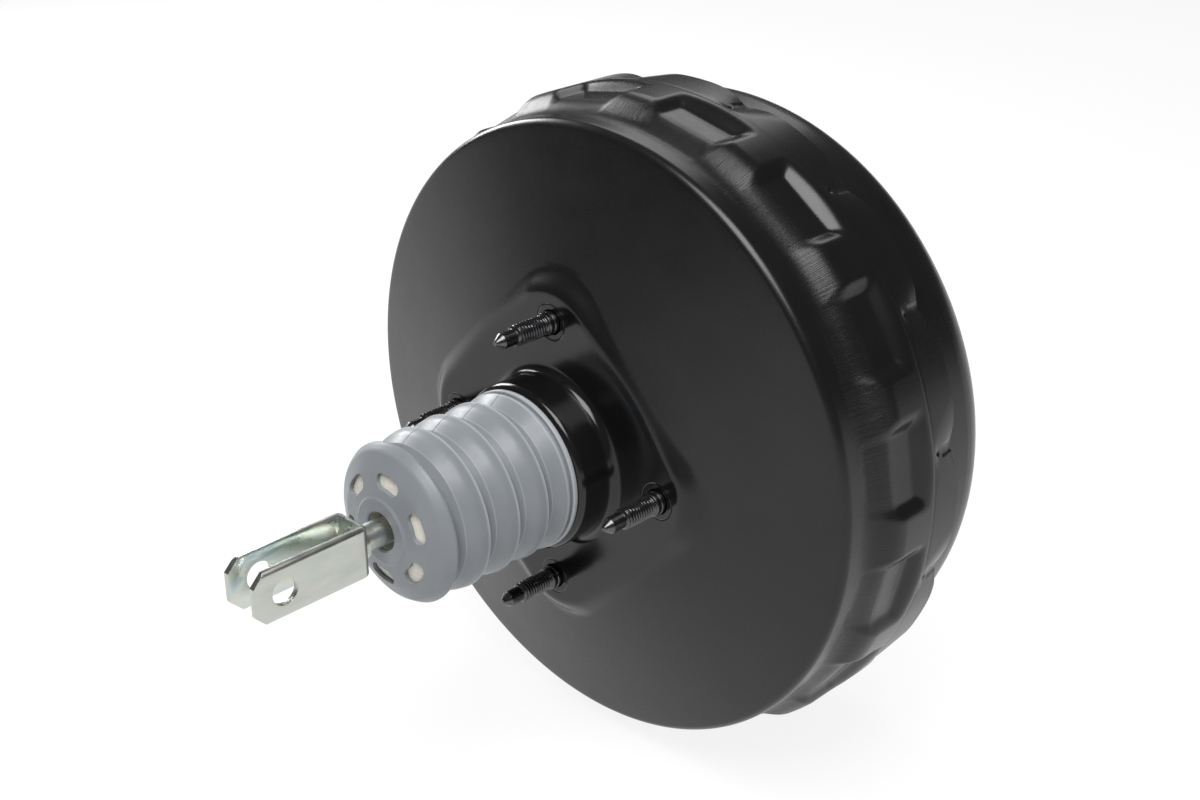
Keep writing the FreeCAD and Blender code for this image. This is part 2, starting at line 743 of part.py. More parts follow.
# Plate behind the master cylinder face, its two studs and the sealing ring
PLATE_FRONT = "(boss_depth - front_gauge - seat_gap)"
front_plate, sketch = plate_sketch(
    "front_plate", "%s - front_plate_gauge" % PLATE_FRONT,
    [("0", "0", "boss_radius - front_plate_inset"),
     ("0", "0", "front_bore"),
     ("front_stud_half_spacing", "0", "stud_press_radius + hole_clearance"),
     ("-1 * front_stud_half_spacing", "0", "stud_press_radius + hole_clearance")])
front_plate.Tip = extrude(front_plate, "front_plate_form", "PartDesign::Pad", sketch,
                          "front_plate_gauge", reverse=True)
keep(front_plate)

FRONT_STUD_SEAT = "(%s - front_plate_gauge - seat_gap)" % PLATE_FRONT
keep(stud_set("front_studs", [
    ("0", "%s - stud_head_length" % FRONT_STUD_SEAT),
    ("stud_head_radius", "%s - stud_head_length" % FRONT_STUD_SEAT),
    ("stud_head_radius", FRONT_STUD_SEAT),
    ("stud_press_radius", FRONT_STUD_SEAT),
    ("stud_press_radius", "boss_depth"),
    ("stud_radius", "boss_depth"),
    ("stud_radius",
     "boss_depth + front_stud_length - (stud_radius - stud_point_radius)"),
    ("stud_point_radius", "boss_depth + front_stud_length"),
    ("0", "boss_depth + front_stud_length"),
], "front_stud_half_spacing", "2"))

front_ring = doc.addObject("Part::Torus", "front_ring")
front_ring.Label = "front_ring"
front_ring.setExpression(
    "Radius1", bound("front_bore + (ring_section + ring_clearance) / 2"))
front_ring.setExpression("Radius2", bound("ring_section / 2 - ring_clearance"))
front_ring.Placement = FreeCAD.Placement(
    FreeCAD.Vector(0, 0, 0), FreeCAD.Rotation(FreeCAD.Vector(1, 0, 0), -90))
front_ring.setExpression(
    "Placement.Base.y",
    bound("%s + ring_section / 2 - ring_clearance + seat_gap" % PLATE_FRONT))
keep(front_ring)

# Control housing: tail, hub, valve seat, guide bores and the nose of the piston
HEAD_REAR = "(valve_floor - vacuum_seat_height - poppet_lift + seat_slack)"
HEAD_FRONT = "(%s + plunger_head_length)" % HEAD_REAR
HEAD_POCKET = "(%s + valve_travel + seat_slack)" % HEAD_FRONT
GUIDE_END = "(plunger_front + valve_travel + seat_slack)"
REACTION_BORE = "(reaction_radius + running_fit)"
valve_body = new_body("valve_body")
revolve(valve_body, "valve_body_form", [
    ("tail_bore", "tail_end"),
    ("tail_radius", "tail_end"),
    ("tail_radius", "hub_rear"),
    ("hub_radius", "hub_rear"),
    ("hub_radius", "hub_step"),
    ("land_radius", "hub_step"),
    ("land_radius", "land_end"),
    ("boss_outer", "land_end"),
    ("boss_outer", "reaction_seat"),
    ("nose_outer", "reaction_seat"),
    ("nose_outer", "nose_end"),
    (REACTION_BORE, "nose_end"),
    (REACTION_BORE, "reaction_seat"),
    ("plunger_pin_radius + running_fit", "reaction_seat"),
    ("plunger_pin_radius + running_fit", GUIDE_END),
    ("plunger_radius + running_fit", GUIDE_END),
    ("plunger_radius + running_fit", HEAD_POCKET),
    ("plunger_head_radius + seat_slack", HEAD_POCKET),
    ("plunger_head_radius + seat_slack", "valve_floor"),
    ("vacuum_seat_inner", "valve_floor"),
    ("vacuum_seat_inner", "valve_floor - vacuum_seat_height"),
    ("vacuum_seat_outer", "valve_floor - vacuum_seat_height"),
    ("vacuum_seat_outer", "valve_floor"),
    ("tail_bore", "valve_floor"),
])
doc.recompute()
sketch = new_sketch(valve_body, "valve_body_key_section", "XY_Plane")
outline(sketch, [
    ("-1 * (key_half_width + key_slack)", "key_place - key_slack"),
    ("hub_radius + press_margin", "key_place - key_slack"),
    ("hub_radius + press_margin", "key_place + key_gauge + key_slack"),
    ("-1 * (key_half_width + key_slack)", "key_place + key_gauge + key_slack"),
])
valve_body.Tip = extrude(valve_body, "valve_body_key_slot", "PartDesign::Pocket", sketch,
                         "2 * (key_half_width + key_slack)", both=True)
doc.recompute()
sketch = new_sketch(valve_body, "valve_body_passage_circle", "XZ_Plane")
sketch.setExpression("AttachmentOffset.Base.z", bound("-1 * (reaction_seat + press_margin)"))
circle(sketch, "passage_circle * cos(45)", "passage_circle * sin(45)", "passage_radius")
passage = extrude(valve_body, "valve_body_passage", "PartDesign::Pocket", sketch,
                  "reaction_seat - valve_floor + 2 * press_margin", reverse=True)
valve_body.Tip = passage
doc.recompute()
polar(valve_body, "valve_body_passages", [passage], "passage_count")
keep(valve_body)

# Stop key, a fork across the control housing that limits the plunger
stop_key = new_body("stop_key")
sketch = new_sketch(stop_key, "stop_key_outline", "XZ_Plane")
sketch.setExpression("AttachmentOffset.Base.z", bound("-1 * key_place"))
FORK = "(plunger_neck_radius + key_slack)"
outline(sketch, [
    ("-1 * key_half_width", FORK),
    (FORK, FORK),
    (FORK, "-1 * %s" % FORK),
    ("-1 * key_half_width", "-1 * %s" % FORK),
    ("-1 * key_half_width", "-1 * key_half_width"),
    ("key_reach - key_half_width / 2", "-1 * key_half_width"),
    ("key_reach", "-0.5 * key_half_width"),
    ("key_reach", "0.5 * key_half_width"),
    ("key_reach - key_half_width / 2", "key_half_width"),
    ("-1 * key_half_width", "key_half_width"),
])
stop_key.Tip = extrude(stop_key, "stop_key_form", "PartDesign::Pad", sketch, "key_gauge",
                       reverse=True)
keep(stop_key)

# Plunger, moved by the pedal rod, with its ball socket and the key's groove
GROOVE_REAR = "(key_place - key_slack - valve_travel)"
GROOVE_FRONT = "(key_place + key_gauge + key_slack)"
SOCKET = "(ball_radius + running_fit)"
keep(turned("valve_plunger", [
    (SOCKET, HEAD_REAR),
    ("plunger_head_radius", HEAD_REAR),
    ("plunger_head_radius", HEAD_FRONT),
    ("plunger_radius", HEAD_FRONT),
    ("plunger_radius", GROOVE_REAR),
    ("plunger_neck_radius", GROOVE_REAR),
    ("plunger_neck_radius", GROOVE_FRONT),
    ("plunger_radius", GROOVE_FRONT),
    ("plunger_radius", "plunger_front"),
    ("plunger_pin_radius", "plunger_front"),
    ("plunger_pin_radius", "reaction_seat - reaction_gap"),
    ("0", "reaction_seat - reaction_gap"),
    ("0", "ball_place + ball_radius + seat_slack"),
    ("0.6 * ball_radius", "ball_place + ball_radius + seat_slack"),
    (SOCKET, "ball_place + 0.5 * ball_radius"),
]))

# Poppet valve, its spring and the ring that holds it in the tail
POPPET_FACE = "(valve_floor - vacuum_seat_height - poppet_lift)"
POPPET_BACK = "(%s - poppet_face_gauge)" % POPPET_FACE
POPPET_END = "(%s - poppet_length)" % POPPET_FACE
POPPET_OUTER = "(tail_bore - hole_clearance)"
keep(turned("poppet_valve", [
    ("poppet_face_inner", POPPET_FACE),
    ("vacuum_seat_outer + poppet_wall_gauge", POPPET_FACE),
    ("vacuum_seat_outer + poppet_wall_gauge", POPPET_BACK),
    ("poppet_wall_outer", POPPET_BACK),
    ("poppet_wall_outer", "%s + poppet_bead_width" % POPPET_END),
    (POPPET_OUTER, "%s + poppet_bead_width" % POPPET_END),
    (POPPET_OUTER, POPPET_END),
    ("poppet_wall_outer - poppet_wall_gauge", POPPET_END),
    ("poppet_wall_outer - poppet_wall_gauge", POPPET_BACK),
    ("poppet_face_inner", POPPET_BACK),
]))
SLEEVE = "(poppet_wall_outer - poppet_wall_gauge - hole_clearance)"
RETAINER_FRONT = "(%s - seat_gap)" % POPPET_END
keep(turned("poppet_retainer", [
    ("retainer_bore", RETAINER_FRONT),
    ("retainer_bore", "%s - retainer_gauge" % RETAINER_FRONT),
    (POPPET_OUTER, "%s - retainer_gauge" % RETAINER_FRONT),
    (POPPET_OUTER, RETAINER_FRONT),
    (SLEEVE, RETAINER_FRONT),
    (SLEEVE, "%s + retainer_length" % RETAINER_FRONT),
    ("%s - retainer_gauge" % SLEEVE, "%s + retainer_length" % RETAINER_FRONT),
    ("%s - retainer_gauge" % SLEEVE, RETAINER_FRONT),
]))


def coil(name, radius, wire, turns, start, end, sides, steps):
    """A coil spring of facets between two flat seats, its end turns closed.

    The wire has the given number of sides, and each turn the given number of steps.
    """
    wire_radius = value("%s / 2" % wire)
    low = value("%s + %s / 2 + seat_gap" % (start, wire))
    high = value("%s - %s / 2 - seat_gap" % (end, wire))
    all_turns = value(turns)
    closed = value("spring_closed_turn")
    sections = []
    for k in range(round(all_turns * steps) + 1):
        turn = min(k / steps, all_turns)
        share = (turn - closed) / (all_turns - 2 * closed)
        place = low + (high - low) * min(max(share, 0.0), 1.0)
        out = FreeCAD.Vector(math.cos(2 * math.pi * turn), 0, math.sin(2 * math.pi * turn))
        centre = out * value(radius) + FreeCAD.Vector(0, place, 0)
        section = []
        for side in range(sides):
            angle = 2 * math.pi * (side + 0.5) / sides
            section.append(centre + out * (wire_radius * math.cos(angle))
                           + FreeCAD.Vector(0, wire_radius * math.sin(angle), 0))
        sections.append(section)
    faces = [facet(sections[0]), facet(sections[-1])]
    for before, after in zip(sections, sections[1:]):
        for side in range(sides):
            other = (side + 1) % sides
            faces.append(facet([before[side], after[side], after[other]]))
            faces.append(facet([before[side], after[other], before[other]]))
    spring = doc.addObject("Part::Feature", name)
    spring.Label = name
    spring.Shape = Part.makeSolid(Part.makeShell(faces))
    return spring


def facet(corners):
    return Part.Face(Part.makePolygon(corners + corners[:1]))


keep(coil("poppet_spring", "poppet_spring_radius", "poppet_spring_wire",
          "poppet_spring_turns", RETAINER_FRONT, POPPET_BACK, 8, 20))
keep(coil("input_spring", "input_spring_radius", "input_spring_wire",
          "input_spring_turns", "rod_step + rod_washer_gauge + seat_gap",
          "%s - retainer_gauge" % RETAINER_FRONT, 8, 20))

# Pedal rod with its ball, spring washer, collar and rivet head
input_rod = new_body("input_rod")
ROD_END = "(clevis_back - clevis_gauge)"
revolve(input_rod, "input_rod_form", [
    ("0", "ball_place"),
    ("rod_neck_radius", "ball_place"),
    ("rod_neck_radius", "rod_step"),
    ("rod_radius", "rod_step"),
    ("rod_radius", "clevis_back + rod_collar_length"),
    ("rod_collar_radius", "clevis_back + rod_collar_length"),
    ("rod_collar_radius", "clevis_back + seat_gap"),
    ("rod_shank_radius", "clevis_back + seat_gap"),
    ("rod_shank_radius", "%s - seat_gap" % ROD_END),
    ("rivet_radius", "%s - seat_gap" % ROD_END),
    ("rivet_radius", "%s - rivet_height / 2" % ROD_END),
    ("rivet_radius * 0.6", "%s - rivet_height" % ROD_END),
    ("0", "%s - rivet_height" % ROD_END),
])
ball = input_rod.newObject("PartDesign::AdditiveSphere", "input_rod_ball")
ball.setExpression("Radius", bound("ball_radius"))
ball.setExpression("Placement.Base.y", bound("ball_place"))
input_rod.Tip = ball
doc.recompute()
keep(input_rod)
keep(turned("rod_washer", [
    ("rod_neck_radius + hole_clearance", "rod_step + seat_gap"),
    ("rod_washer_radius", "rod_step + seat_gap"),
    ("rod_washer_radius", "rod_step + seat_gap + rod_washer_gauge"),
    ("rod_neck_radius + hole_clearance", "rod_step + seat_gap + rod_washer_gauge"),
]))


def straight(feature, spots):
    """Names of the straight edges whose middle lies at one of the given spots."""
    found = []
    for spot in spots:
        target = FreeCAD.Vector(*[value(part) for part in spot])
        for index, edge in enumerate(feature.Shape.Edges, 1):
            if not isinstance(edge.Curve, Part.Line):
                continue
            middle = edge.valueAt((edge.FirstParameter + edge.LastParameter) / 2)
            if middle.distanceToPoint(target) < 0.05:
                found.append("Edge%d" % index)
    return found


def dress(body, name, kind, base, spots, size):
    """A fillet or chamfer on the straight edges at the given spots."""
    feature = body.newObject(kind, name)
    feature.Base = (base, straight(base, spots))
    feature.setExpression("Size" if kind.endswith("Chamfer") else "Radius", bound(size))
    body.Tip = feature
    doc.recompute()
    return feature


# Clevis, bent from strip, riveted to the end of the pedal rod
clevis = new_body("clevis")
sketch = new_sketch(clevis, "clevis_section", "XY_Plane")
INSIDE = "(clevis_half_width - clevis_gauge)"
outline(sketch, [
    ("clevis_half_width", "clevis_tip"),
    ("clevis_half_width", "clevis_back"),
    ("-1 * clevis_half_width", "clevis_back"),
    ("-1 * clevis_half_width", "clevis_tip"),
    ("-1 * %s" % INSIDE, "clevis_tip"),
    ("-1 * %s" % INSIDE, ROD_END),
    (INSIDE, ROD_END),
    (INSIDE, "clevis_tip"),
])
base = extrude(clevis, "clevis_form", "PartDesign::Pad", sketch, "2 * clevis_half_height",
               both=True)
doc.recompute()
SIDE = "(clevis_half_width - clevis_gauge / 2)"
base = dress(clevis, "clevis_tips", "PartDesign::Chamfer", base,
             [("%s * %s" % (side, SIDE), "clevis_tip", "%s * clevis_half_height" % up)
              for side in ("1", "-1") for up in ("1", "-1")], "clevis_corner")
base = dress(clevis, "clevis_bend", "PartDesign::Fillet", base,
             [("clevis_half_width", "clevis_back", "0"),
              ("-1 * clevis_half_width", "clevis_back", "0")], "clevis_bend_round")
base = dress(clevis, "clevis_heel", "PartDesign::Fillet", base,
             [("0", "clevis_back", "clevis_half_height"),
              ("0", "clevis_back", "-1 * clevis_half_height")], "clevis_heel_round")
sketch = new_sketch(clevis, "clevis_pin_circle", "YZ_Plane")
circle(sketch, "clevis_pin_place", "0", "clevis_pin_bore")
clevis.Tip = extrude(clevis, "clevis_pin_holes", "PartDesign::Pocket", sketch,
                     "2 * clevis_half_width + press_margin", both=True)
doc.recompute()
sketch = new_sketch(clevis, "clevis_rod_circle", "XZ_Plane")
sketch.setExpression("AttachmentOffset.Base.z", bound("-1 * (clevis_back + press_margin)"))
circle(sketch, "0", "0", "rod_shank_radius + hole_clearance")
clevis.Tip = extrude(clevis, "clevis_rod_hole", "PartDesign::Pocket", sketch,
                     "2 * press_margin + clevis_gauge", reverse=True)
doc.recompute()
keep(clevis)

# Bellows: hooked into the neck's turned-in rim, four folds, and a cup over the
# tail of the control housing with slots that let the air in through the felt
boot = new_body("boot")
NECK_INSIDE = "(neck_radius - rear_gauge)"
NECK_HOOK = "(neck_lip_bore - hole_clearance)"
LIP_FRONT = "(-1 * neck_length - seat_gap)"
BEAD_REAR = "(-1 * neck_length + rear_gauge + seat_gap)"
BEAD_FRONT = "(%s + boot_gauge)" % BEAD_REAR
RIM_FRONT = "(%s - boot_lip_gauge - boot_groove_length)" % LIP_FRONT
RIM_REAR = "(%s - boot_rim_length)" % RIM_FRONT
NOSE = "(boot_cup_crest - boot_cup_length)"
TAIL_GRIP = "(tail_radius + hole_clearance)"
FIRST_VALLEY = "(boot_cup_crest + boot_pitch / 2)"
outside = [
    ("%s - boot_bead_step" % NECK_INSIDE, BEAD_FRONT),
    ("%s - boot_bead_step" % NECK_INSIDE, BEAD_REAR),
    (NECK_HOOK, BEAD_REAR),
    (NECK_HOOK, LIP_FRONT),
    ("neck_radius - boot_lip_step", LIP_FRONT),
    ("neck_radius - boot_lip_step", "%s - boot_lip_gauge" % LIP_FRONT),
    ("boot_crest_radius - boot_groove_depth", "%s - boot_lip_gauge" % LIP_FRONT),
    ("boot_crest_radius - boot_groove_depth", RIM_FRONT),
    ("boot_crest_radius", RIM_FRONT),
    ("boot_crest_radius", RIM_REAR),
    ("(boot_crest_radius + boot_valley_radius) / 2 - boot_gauge / 2",
     "boot_last_crest + boot_return_length"),
]
inside = [
    ("%s - boot_gauge" % NECK_HOOK, BEAD_FRONT),
    ("%s - boot_gauge" % NECK_HOOK, "%s - boot_lip_gauge" % LIP_FRONT),
    ("boot_crest_radius - 1.4 * boot_gauge", "%s + boot_rim_length / 4" % RIM_REAR),
    ("(boot_crest_radius + boot_valley_radius) / 2 - 1.8 * boot_gauge",
     "boot_last_crest + boot_return_length - 0.3 * boot_gauge"),
]
crests = []
shoulders = []
for fold in range(3):
    crest = "(boot_last_crest - %d * boot_pitch)" % fold
    crests.append(("boot_crest_radius", crest))
    outside.append(crests[-1])
    inside.append(("boot_crest_radius - 1.1 * boot_gauge",
                   "%s - boot_gauge / 2" % crest))
    shoulders.append(("boot_crest_radius - boot_shoulder_drop",
                      "%s - boot_shoulder_length" % crest))
    outside.append(shoulders[-1])
    inside.append(("boot_crest_radius - boot_shoulder_drop - 0.95 * boot_gauge",
                   "%s - boot_shoulder_length + 0.35 * boot_gauge" % crest))
    valley_place = "(%s - boot_pitch + boot_return_length)" % crest
    if fold < 2:
        outside.append(("boot_valley_radius", valley_place))
        inside.append(("boot_valley_radius - 1.4 * boot_gauge",
                       "%s - 0.35 * boot_gauge" % valley_place))
cup = ("boot_cup_radius", "boot_cup_crest")
outside += [
    ("%s + boot_gauge" % TAIL_GRIP, FIRST_VALLEY),
    cup,
    ("0.94 * boot_cup_radius", "boot_cup_crest - 0.3 * boot_cup_length"),
    ("0.73 * boot_cup_radius", "%s + 0.32 * boot_cup_length" % NOSE),
    ("boot_ring_radius + boot_ring_height", "%s + boot_ring_height" % NOSE),
    ("boot_ring_radius", NOSE),
    ("boot_hole_radius", NOSE),
]
inside += [
    (TAIL_GRIP, "%s + 0.6 * boot_gauge" % FIRST_VALLEY),
    (TAIL_GRIP, "%s - 0.4 * boot_gauge" % FIRST_VALLEY),
    ("boot_cup_radius - 1.3 * boot_gauge", "boot_cup_crest - 0.1 * boot_gauge"),
    ("0.9 * boot_cup_radius", "boot_cup_crest - 0.15 * boot_cup_length"),
    ("0.71 * boot_cup_radius", "%s + 0.32 * boot_cup_length + boot_nose_gauge" % NOSE),
    ("boot_ring_radius + boot_ring_height",
     "%s + boot_ring_height + boot_nose_gauge" % NOSE),
    ("boot_hole_radius", "%s + boot_nose_gauge" % NOSE),
]
form = revolve(boot, "boot_form", outside + inside[::-1])
doc.recompute()
base = fillet(boot, "boot_crests", form, crests + [cup], "boot_gauge")
base = fillet(boot, "boot_shoulders", base, shoulders, "3 * boot_gauge")
sketch = new_sketch(boot, "boot_slot_outline", "XZ_Plane")
sketch.AttachmentOffset = FreeCAD.Placement(
    FreeCAD.Vector(0, 0, 0), FreeCAD.Rotation(FreeCAD.Vector(0, 0, 1), 22))
sketch.setExpression("AttachmentOffset.Rotation.Angle", bound("slot_phase"))
sketch.setExpression("AttachmentOffset.Base.z", bound("-1 * (%s - press_margin)" % NOSE))
ends = []
STRAIGHT = "(slot_half_length - slot_half_width)"
for up in (1, -1):
    bend = Part.Circle(FreeCAD.Vector(value("slot_circle"), up * value(STRAIGHT), 0),
                       FreeCAD.Vector(0, 0, 1), value("slot_half_width"))
    start = 0 if up > 0 else math.pi
    ends.append(sketch.addGeometry(Part.ArcOfCircle(bend, start, start + math.pi), False))
for k in range(2):
    first = sketch.getPoint(ends[k], 2)
    second = sketch.getPoint(ends[1 - k], 1)
    side = sketch.addGeometry(Part.LineSegment(first, second), False)
    sketch.addConstraint(Sketcher.Constraint("Tangent", ends[k], 2, side, 1))
    sketch.addConstraint(Sketcher.Constraint("Tangent", side, 2, ends[1 - k], 1))
pin(sketch, ends[0], 3, "slot_circle", STRAIGHT)
pin(sketch, ends[1], 3, "slot_circle", "-1 * %s" % STRAIGHT)
rule = sketch.addConstraint(
    Sketcher.Constraint("Radius", ends[0], value("slot_half_width")))
sketch.setExpression("Constraints[%d]" % rule, bound("slot_half_width"))
slot = extrude(boot, "boot_slot", "PartDesign::Pocket", sketch,
               "press_margin + 0.7 * boot_cup_length")
boot.Tip = slot
doc.recompute()
polar(boot, "boot_slots", [slot], "slot_count")
keep(boot)

# Felt disc in the cup and the foam filter in the tail
FELT_FRONT = "(tail_end - 2 * seat_gap)"
FELT_OUTER = "(tail_radius + felt_overhang)"
keep(turned("boot_felt", [
    ("felt_bore", FELT_FRONT),
    (FELT_OUTER, FELT_FRONT),
    (FELT_OUTER, "%s - felt_gauge" % FELT_FRONT),
    ("boot_ring_radius", "%s - felt_gauge - felt_crown" % FELT_FRONT),
    ("felt_bore", "%s - felt_gauge - felt_crown" % FELT_FRONT),
]))
keep(turned("air_filter", [
    ("filter_bore", "tail_end + seat_gap"),
    ("tail_bore - hole_clearance", "tail_end + seat_gap"),
    ("tail_bore - hole_clearance", "tail_end + seat_gap + filter_length"),
    ("filter_bore", "tail_end + seat_gap + filter_length"),
]))

# Bearing, seal and retaining ring in the neck; the tail runs through them
TAIL_RUN = "(tail_radius + running_fit)"
BUSH_REAR = "(%s + seat_gap)" % BEAD_FRONT
BUSH_FRONT = "(%s + bush_length)" % BUSH_REAR
SEAL_REAR = "(%s + seat_gap)" % BUSH_FRONT
SEAL_FRONT = "(%s + neck_seal_length)" % SEAL_REAR
NECK_FIT = "(%s - hole_clearance)" % NECK_INSIDE
keep(turned("guide_bush", [
    (TAIL_RUN, BUSH_REAR),
    (NECK_FIT, BUSH_REAR),
    (NECK_FIT, BUSH_FRONT),
    (TAIL_RUN, BUSH_FRONT),
]))
keep(turned("neck_seal", [
    (TAIL_RUN, SEAL_REAR),
    (NECK_FIT, SEAL_REAR),
    (NECK_FIT, SEAL_FRONT),
    ("%s - neck_seal_gauge" % NECK_FIT, SEAL_FRONT),
    ("%s - neck_seal_gauge" % NECK_FIT, "%s + neck_seal_gauge" % SEAL_REAR),
    ("%s + neck_seal_gauge" % TAIL_RUN, "%s + neck_seal_gauge" % SEAL_REAR),
    ("%s + neck_seal_gauge" % TAIL_RUN, SEAL_FRONT),
    (TAIL_RUN, SEAL_FRONT),
]))
keep(turned("seal_retainer", [
    ("retainer_ring_bore", "%s + seat_gap" % SEAL_FRONT),
    (NECK_FIT, "%s + seat_gap" % SEAL_FRONT),
    (NECK_FIT, "%s + seat_gap + retainer_ring_gauge" % SEAL_FRONT),
    ("retainer_ring_bore", "%s + seat_gap + retainer_ring_gauge" % SEAL_FRONT),
]))

# Piston plate and the rolling diaphragm behind it
LAND_FIT = "(land_radius + running_fit)"
SKIN_REAR = "(hub_step + seat_gap)"
SKIN_FRONT = "(%s + diaphragm_gauge)" % SKIN_REAR
PLATE_REAR = "(%s + seat_gap)" % SKIN_FRONT
SKIN_WALL = "(wall_radius - rear_gauge - roll_clearance)"
BEAD_FLOOR = "(pocket_floor_radius - rear_gauge - bead_clearance)"
LEDGE = "(pocket_floor_end + rear_gauge * tan(pocket_taper / 2) + 2 * bead_clearance)"


def cone_place(level, radius):
    """Place on a cone that leaves the plate's flat parallel to the shell's cone."""
    return "%s + (%s - plate_flat_radius) * %s" % (level, radius, SLOPE)


RIM = cone_place(PLATE_REAR, "plate_radius")
piston_plate = new_body("diaphragm_plate")
form = revolve(piston_plate, "diaphragm_plate_form", [
    (LAND_FIT, PLATE_REAR),
    ("plate_flat_radius", PLATE_REAR),
    ("plate_radius", RIM),
    ("plate_radius", "%s + plate_rim" % RIM),
    ("plate_radius - plate_gauge", "%s + plate_rim" % RIM),
    ("plate_radius - plate_gauge",
     cone_place("%s + plate_gauge" % PLATE_REAR, "(plate_radius - plate_gauge)")),
    ("plate_flat_radius", "%s + plate_gauge" % PLATE_REAR),
    (LAND_FIT, "%s + plate_gauge" % PLATE_REAR),
])
doc.recompute()
fillet(piston_plate, "diaphragm_plate_rim", form, [("plate_radius", RIM)],
       "2 * plate_gauge")
keep(piston_plate)

diaphragm = new_body("diaphragm")
ROLL = cone_place(SKIN_REAR, SKIN_WALL)
form = revolve(diaphragm, "diaphragm_form", [
    (LAND_FIT, SKIN_REAR),
    ("plate_flat_radius", SKIN_REAR),
    (SKIN_WALL, ROLL),
    (SKIN_WALL, "%s - (%s - %s)" % (LEDGE, BEAD_FLOOR, SKIN_WALL)),
    (BEAD_FLOOR, LEDGE),
    (FLANGE, "%s + (%s - %s)" % (LEDGE, FLANGE, BEAD_FLOOR)),
    (FLANGE, "%s - seat_gap" % FLANGE_REAR),
    (SKIN_WALL, "%s - seat_gap" % FLANGE_REAR),
    ("%s - diaphragm_gauge" % SKIN_WALL,
     "%s - seat_gap - 2 * diaphragm_gauge" % FLANGE_REAR),
    ("%s - diaphragm_gauge" % SKIN_WALL,
     cone_place(SKIN_FRONT, "(%s - diaphragm_gauge)" % SKIN_WALL)),
    ("plate_flat_radius", SKIN_FRONT),
    (LAND_FIT, SKIN_FRONT),
])
doc.recompute()
base = fillet(diaphragm, "diaphragm_roll", form, [(SKIN_WALL, ROLL)], "roll_round")
fillet(diaphragm, "diaphragm_roll_inside", base,
       [("%s - diaphragm_gauge" % SKIN_WALL,
         cone_place(SKIN_FRONT, "(%s - diaphragm_gauge)" % SKIN_WALL))],
       "roll_round - diaphragm_gauge")
keep(diaphragm)

keep(coil("return_spring", "spring_radius", "spring_wire", "spring_turns",
          "%s + plate_gauge" % PLATE_REAR, "%s - front_plate_gauge" % PLATE_FRONT,
          10, 28))

# Reaction disc, output rod with its tip, and the clip that keeps them in the nose
DISC_FRONT = "(reaction_seat + seat_gap + reaction_length)"
HEAD_END = "(%s + seat_gap + output_head_length)" % DISC_FRONT
CLIP_REAR = "(%s + seat_gap)" % HEAD_END
keep(turned("reaction_disc", [
    ("0", "reaction_seat + seat_gap"),
    ("reaction_radius", "reaction_seat + seat_gap"),
    ("reaction_radius", DISC_FRONT),
    ("0", DISC_FRONT),
]))
TIP_SEAT = "(output_rod_end - output_tip_socket)"
keep(turned("output_rod", [
    ("0", "%s + seat_gap" % DISC_FRONT),
    ("reaction_radius", "%s + seat_gap" % DISC_FRONT),
    ("reaction_radius", HEAD_END),
    ("output_rod_radius", HEAD_END),
    ("output_rod_radius", "output_rod_end"),
    ("output_tip_radius + running_fit", "output_rod_end"),
    ("output_tip_radius + running_fit", TIP_SEAT),
    ("0", TIP_SEAT),
]))
keep(turned("output_rod_tip", [
    ("0", "%s + seat_gap" % TIP_SEAT),
    ("output_tip_radius", "%s + seat_gap" % TIP_SEAT),
    ("output_tip_radius", "output_rod_end + seat_gap"),
    ("output_rod_radius", "output_rod_end + seat_gap"),
    ("output_rod_radius", "output_tip_end - output_tip_radius"),
    ("output_tip_radius", "output_tip_end"),
    ("0", "output_tip_end"),
]))
keep(turned("output_clip", [
    ("clip_bore", CLIP_REAR),
    ("reaction_radius", CLIP_REAR),
    ("reaction_radius", "%s + clip_gauge" % CLIP_REAR),
    ("clip_bore", "%s + clip_gauge" % CLIP_REAR),
]))

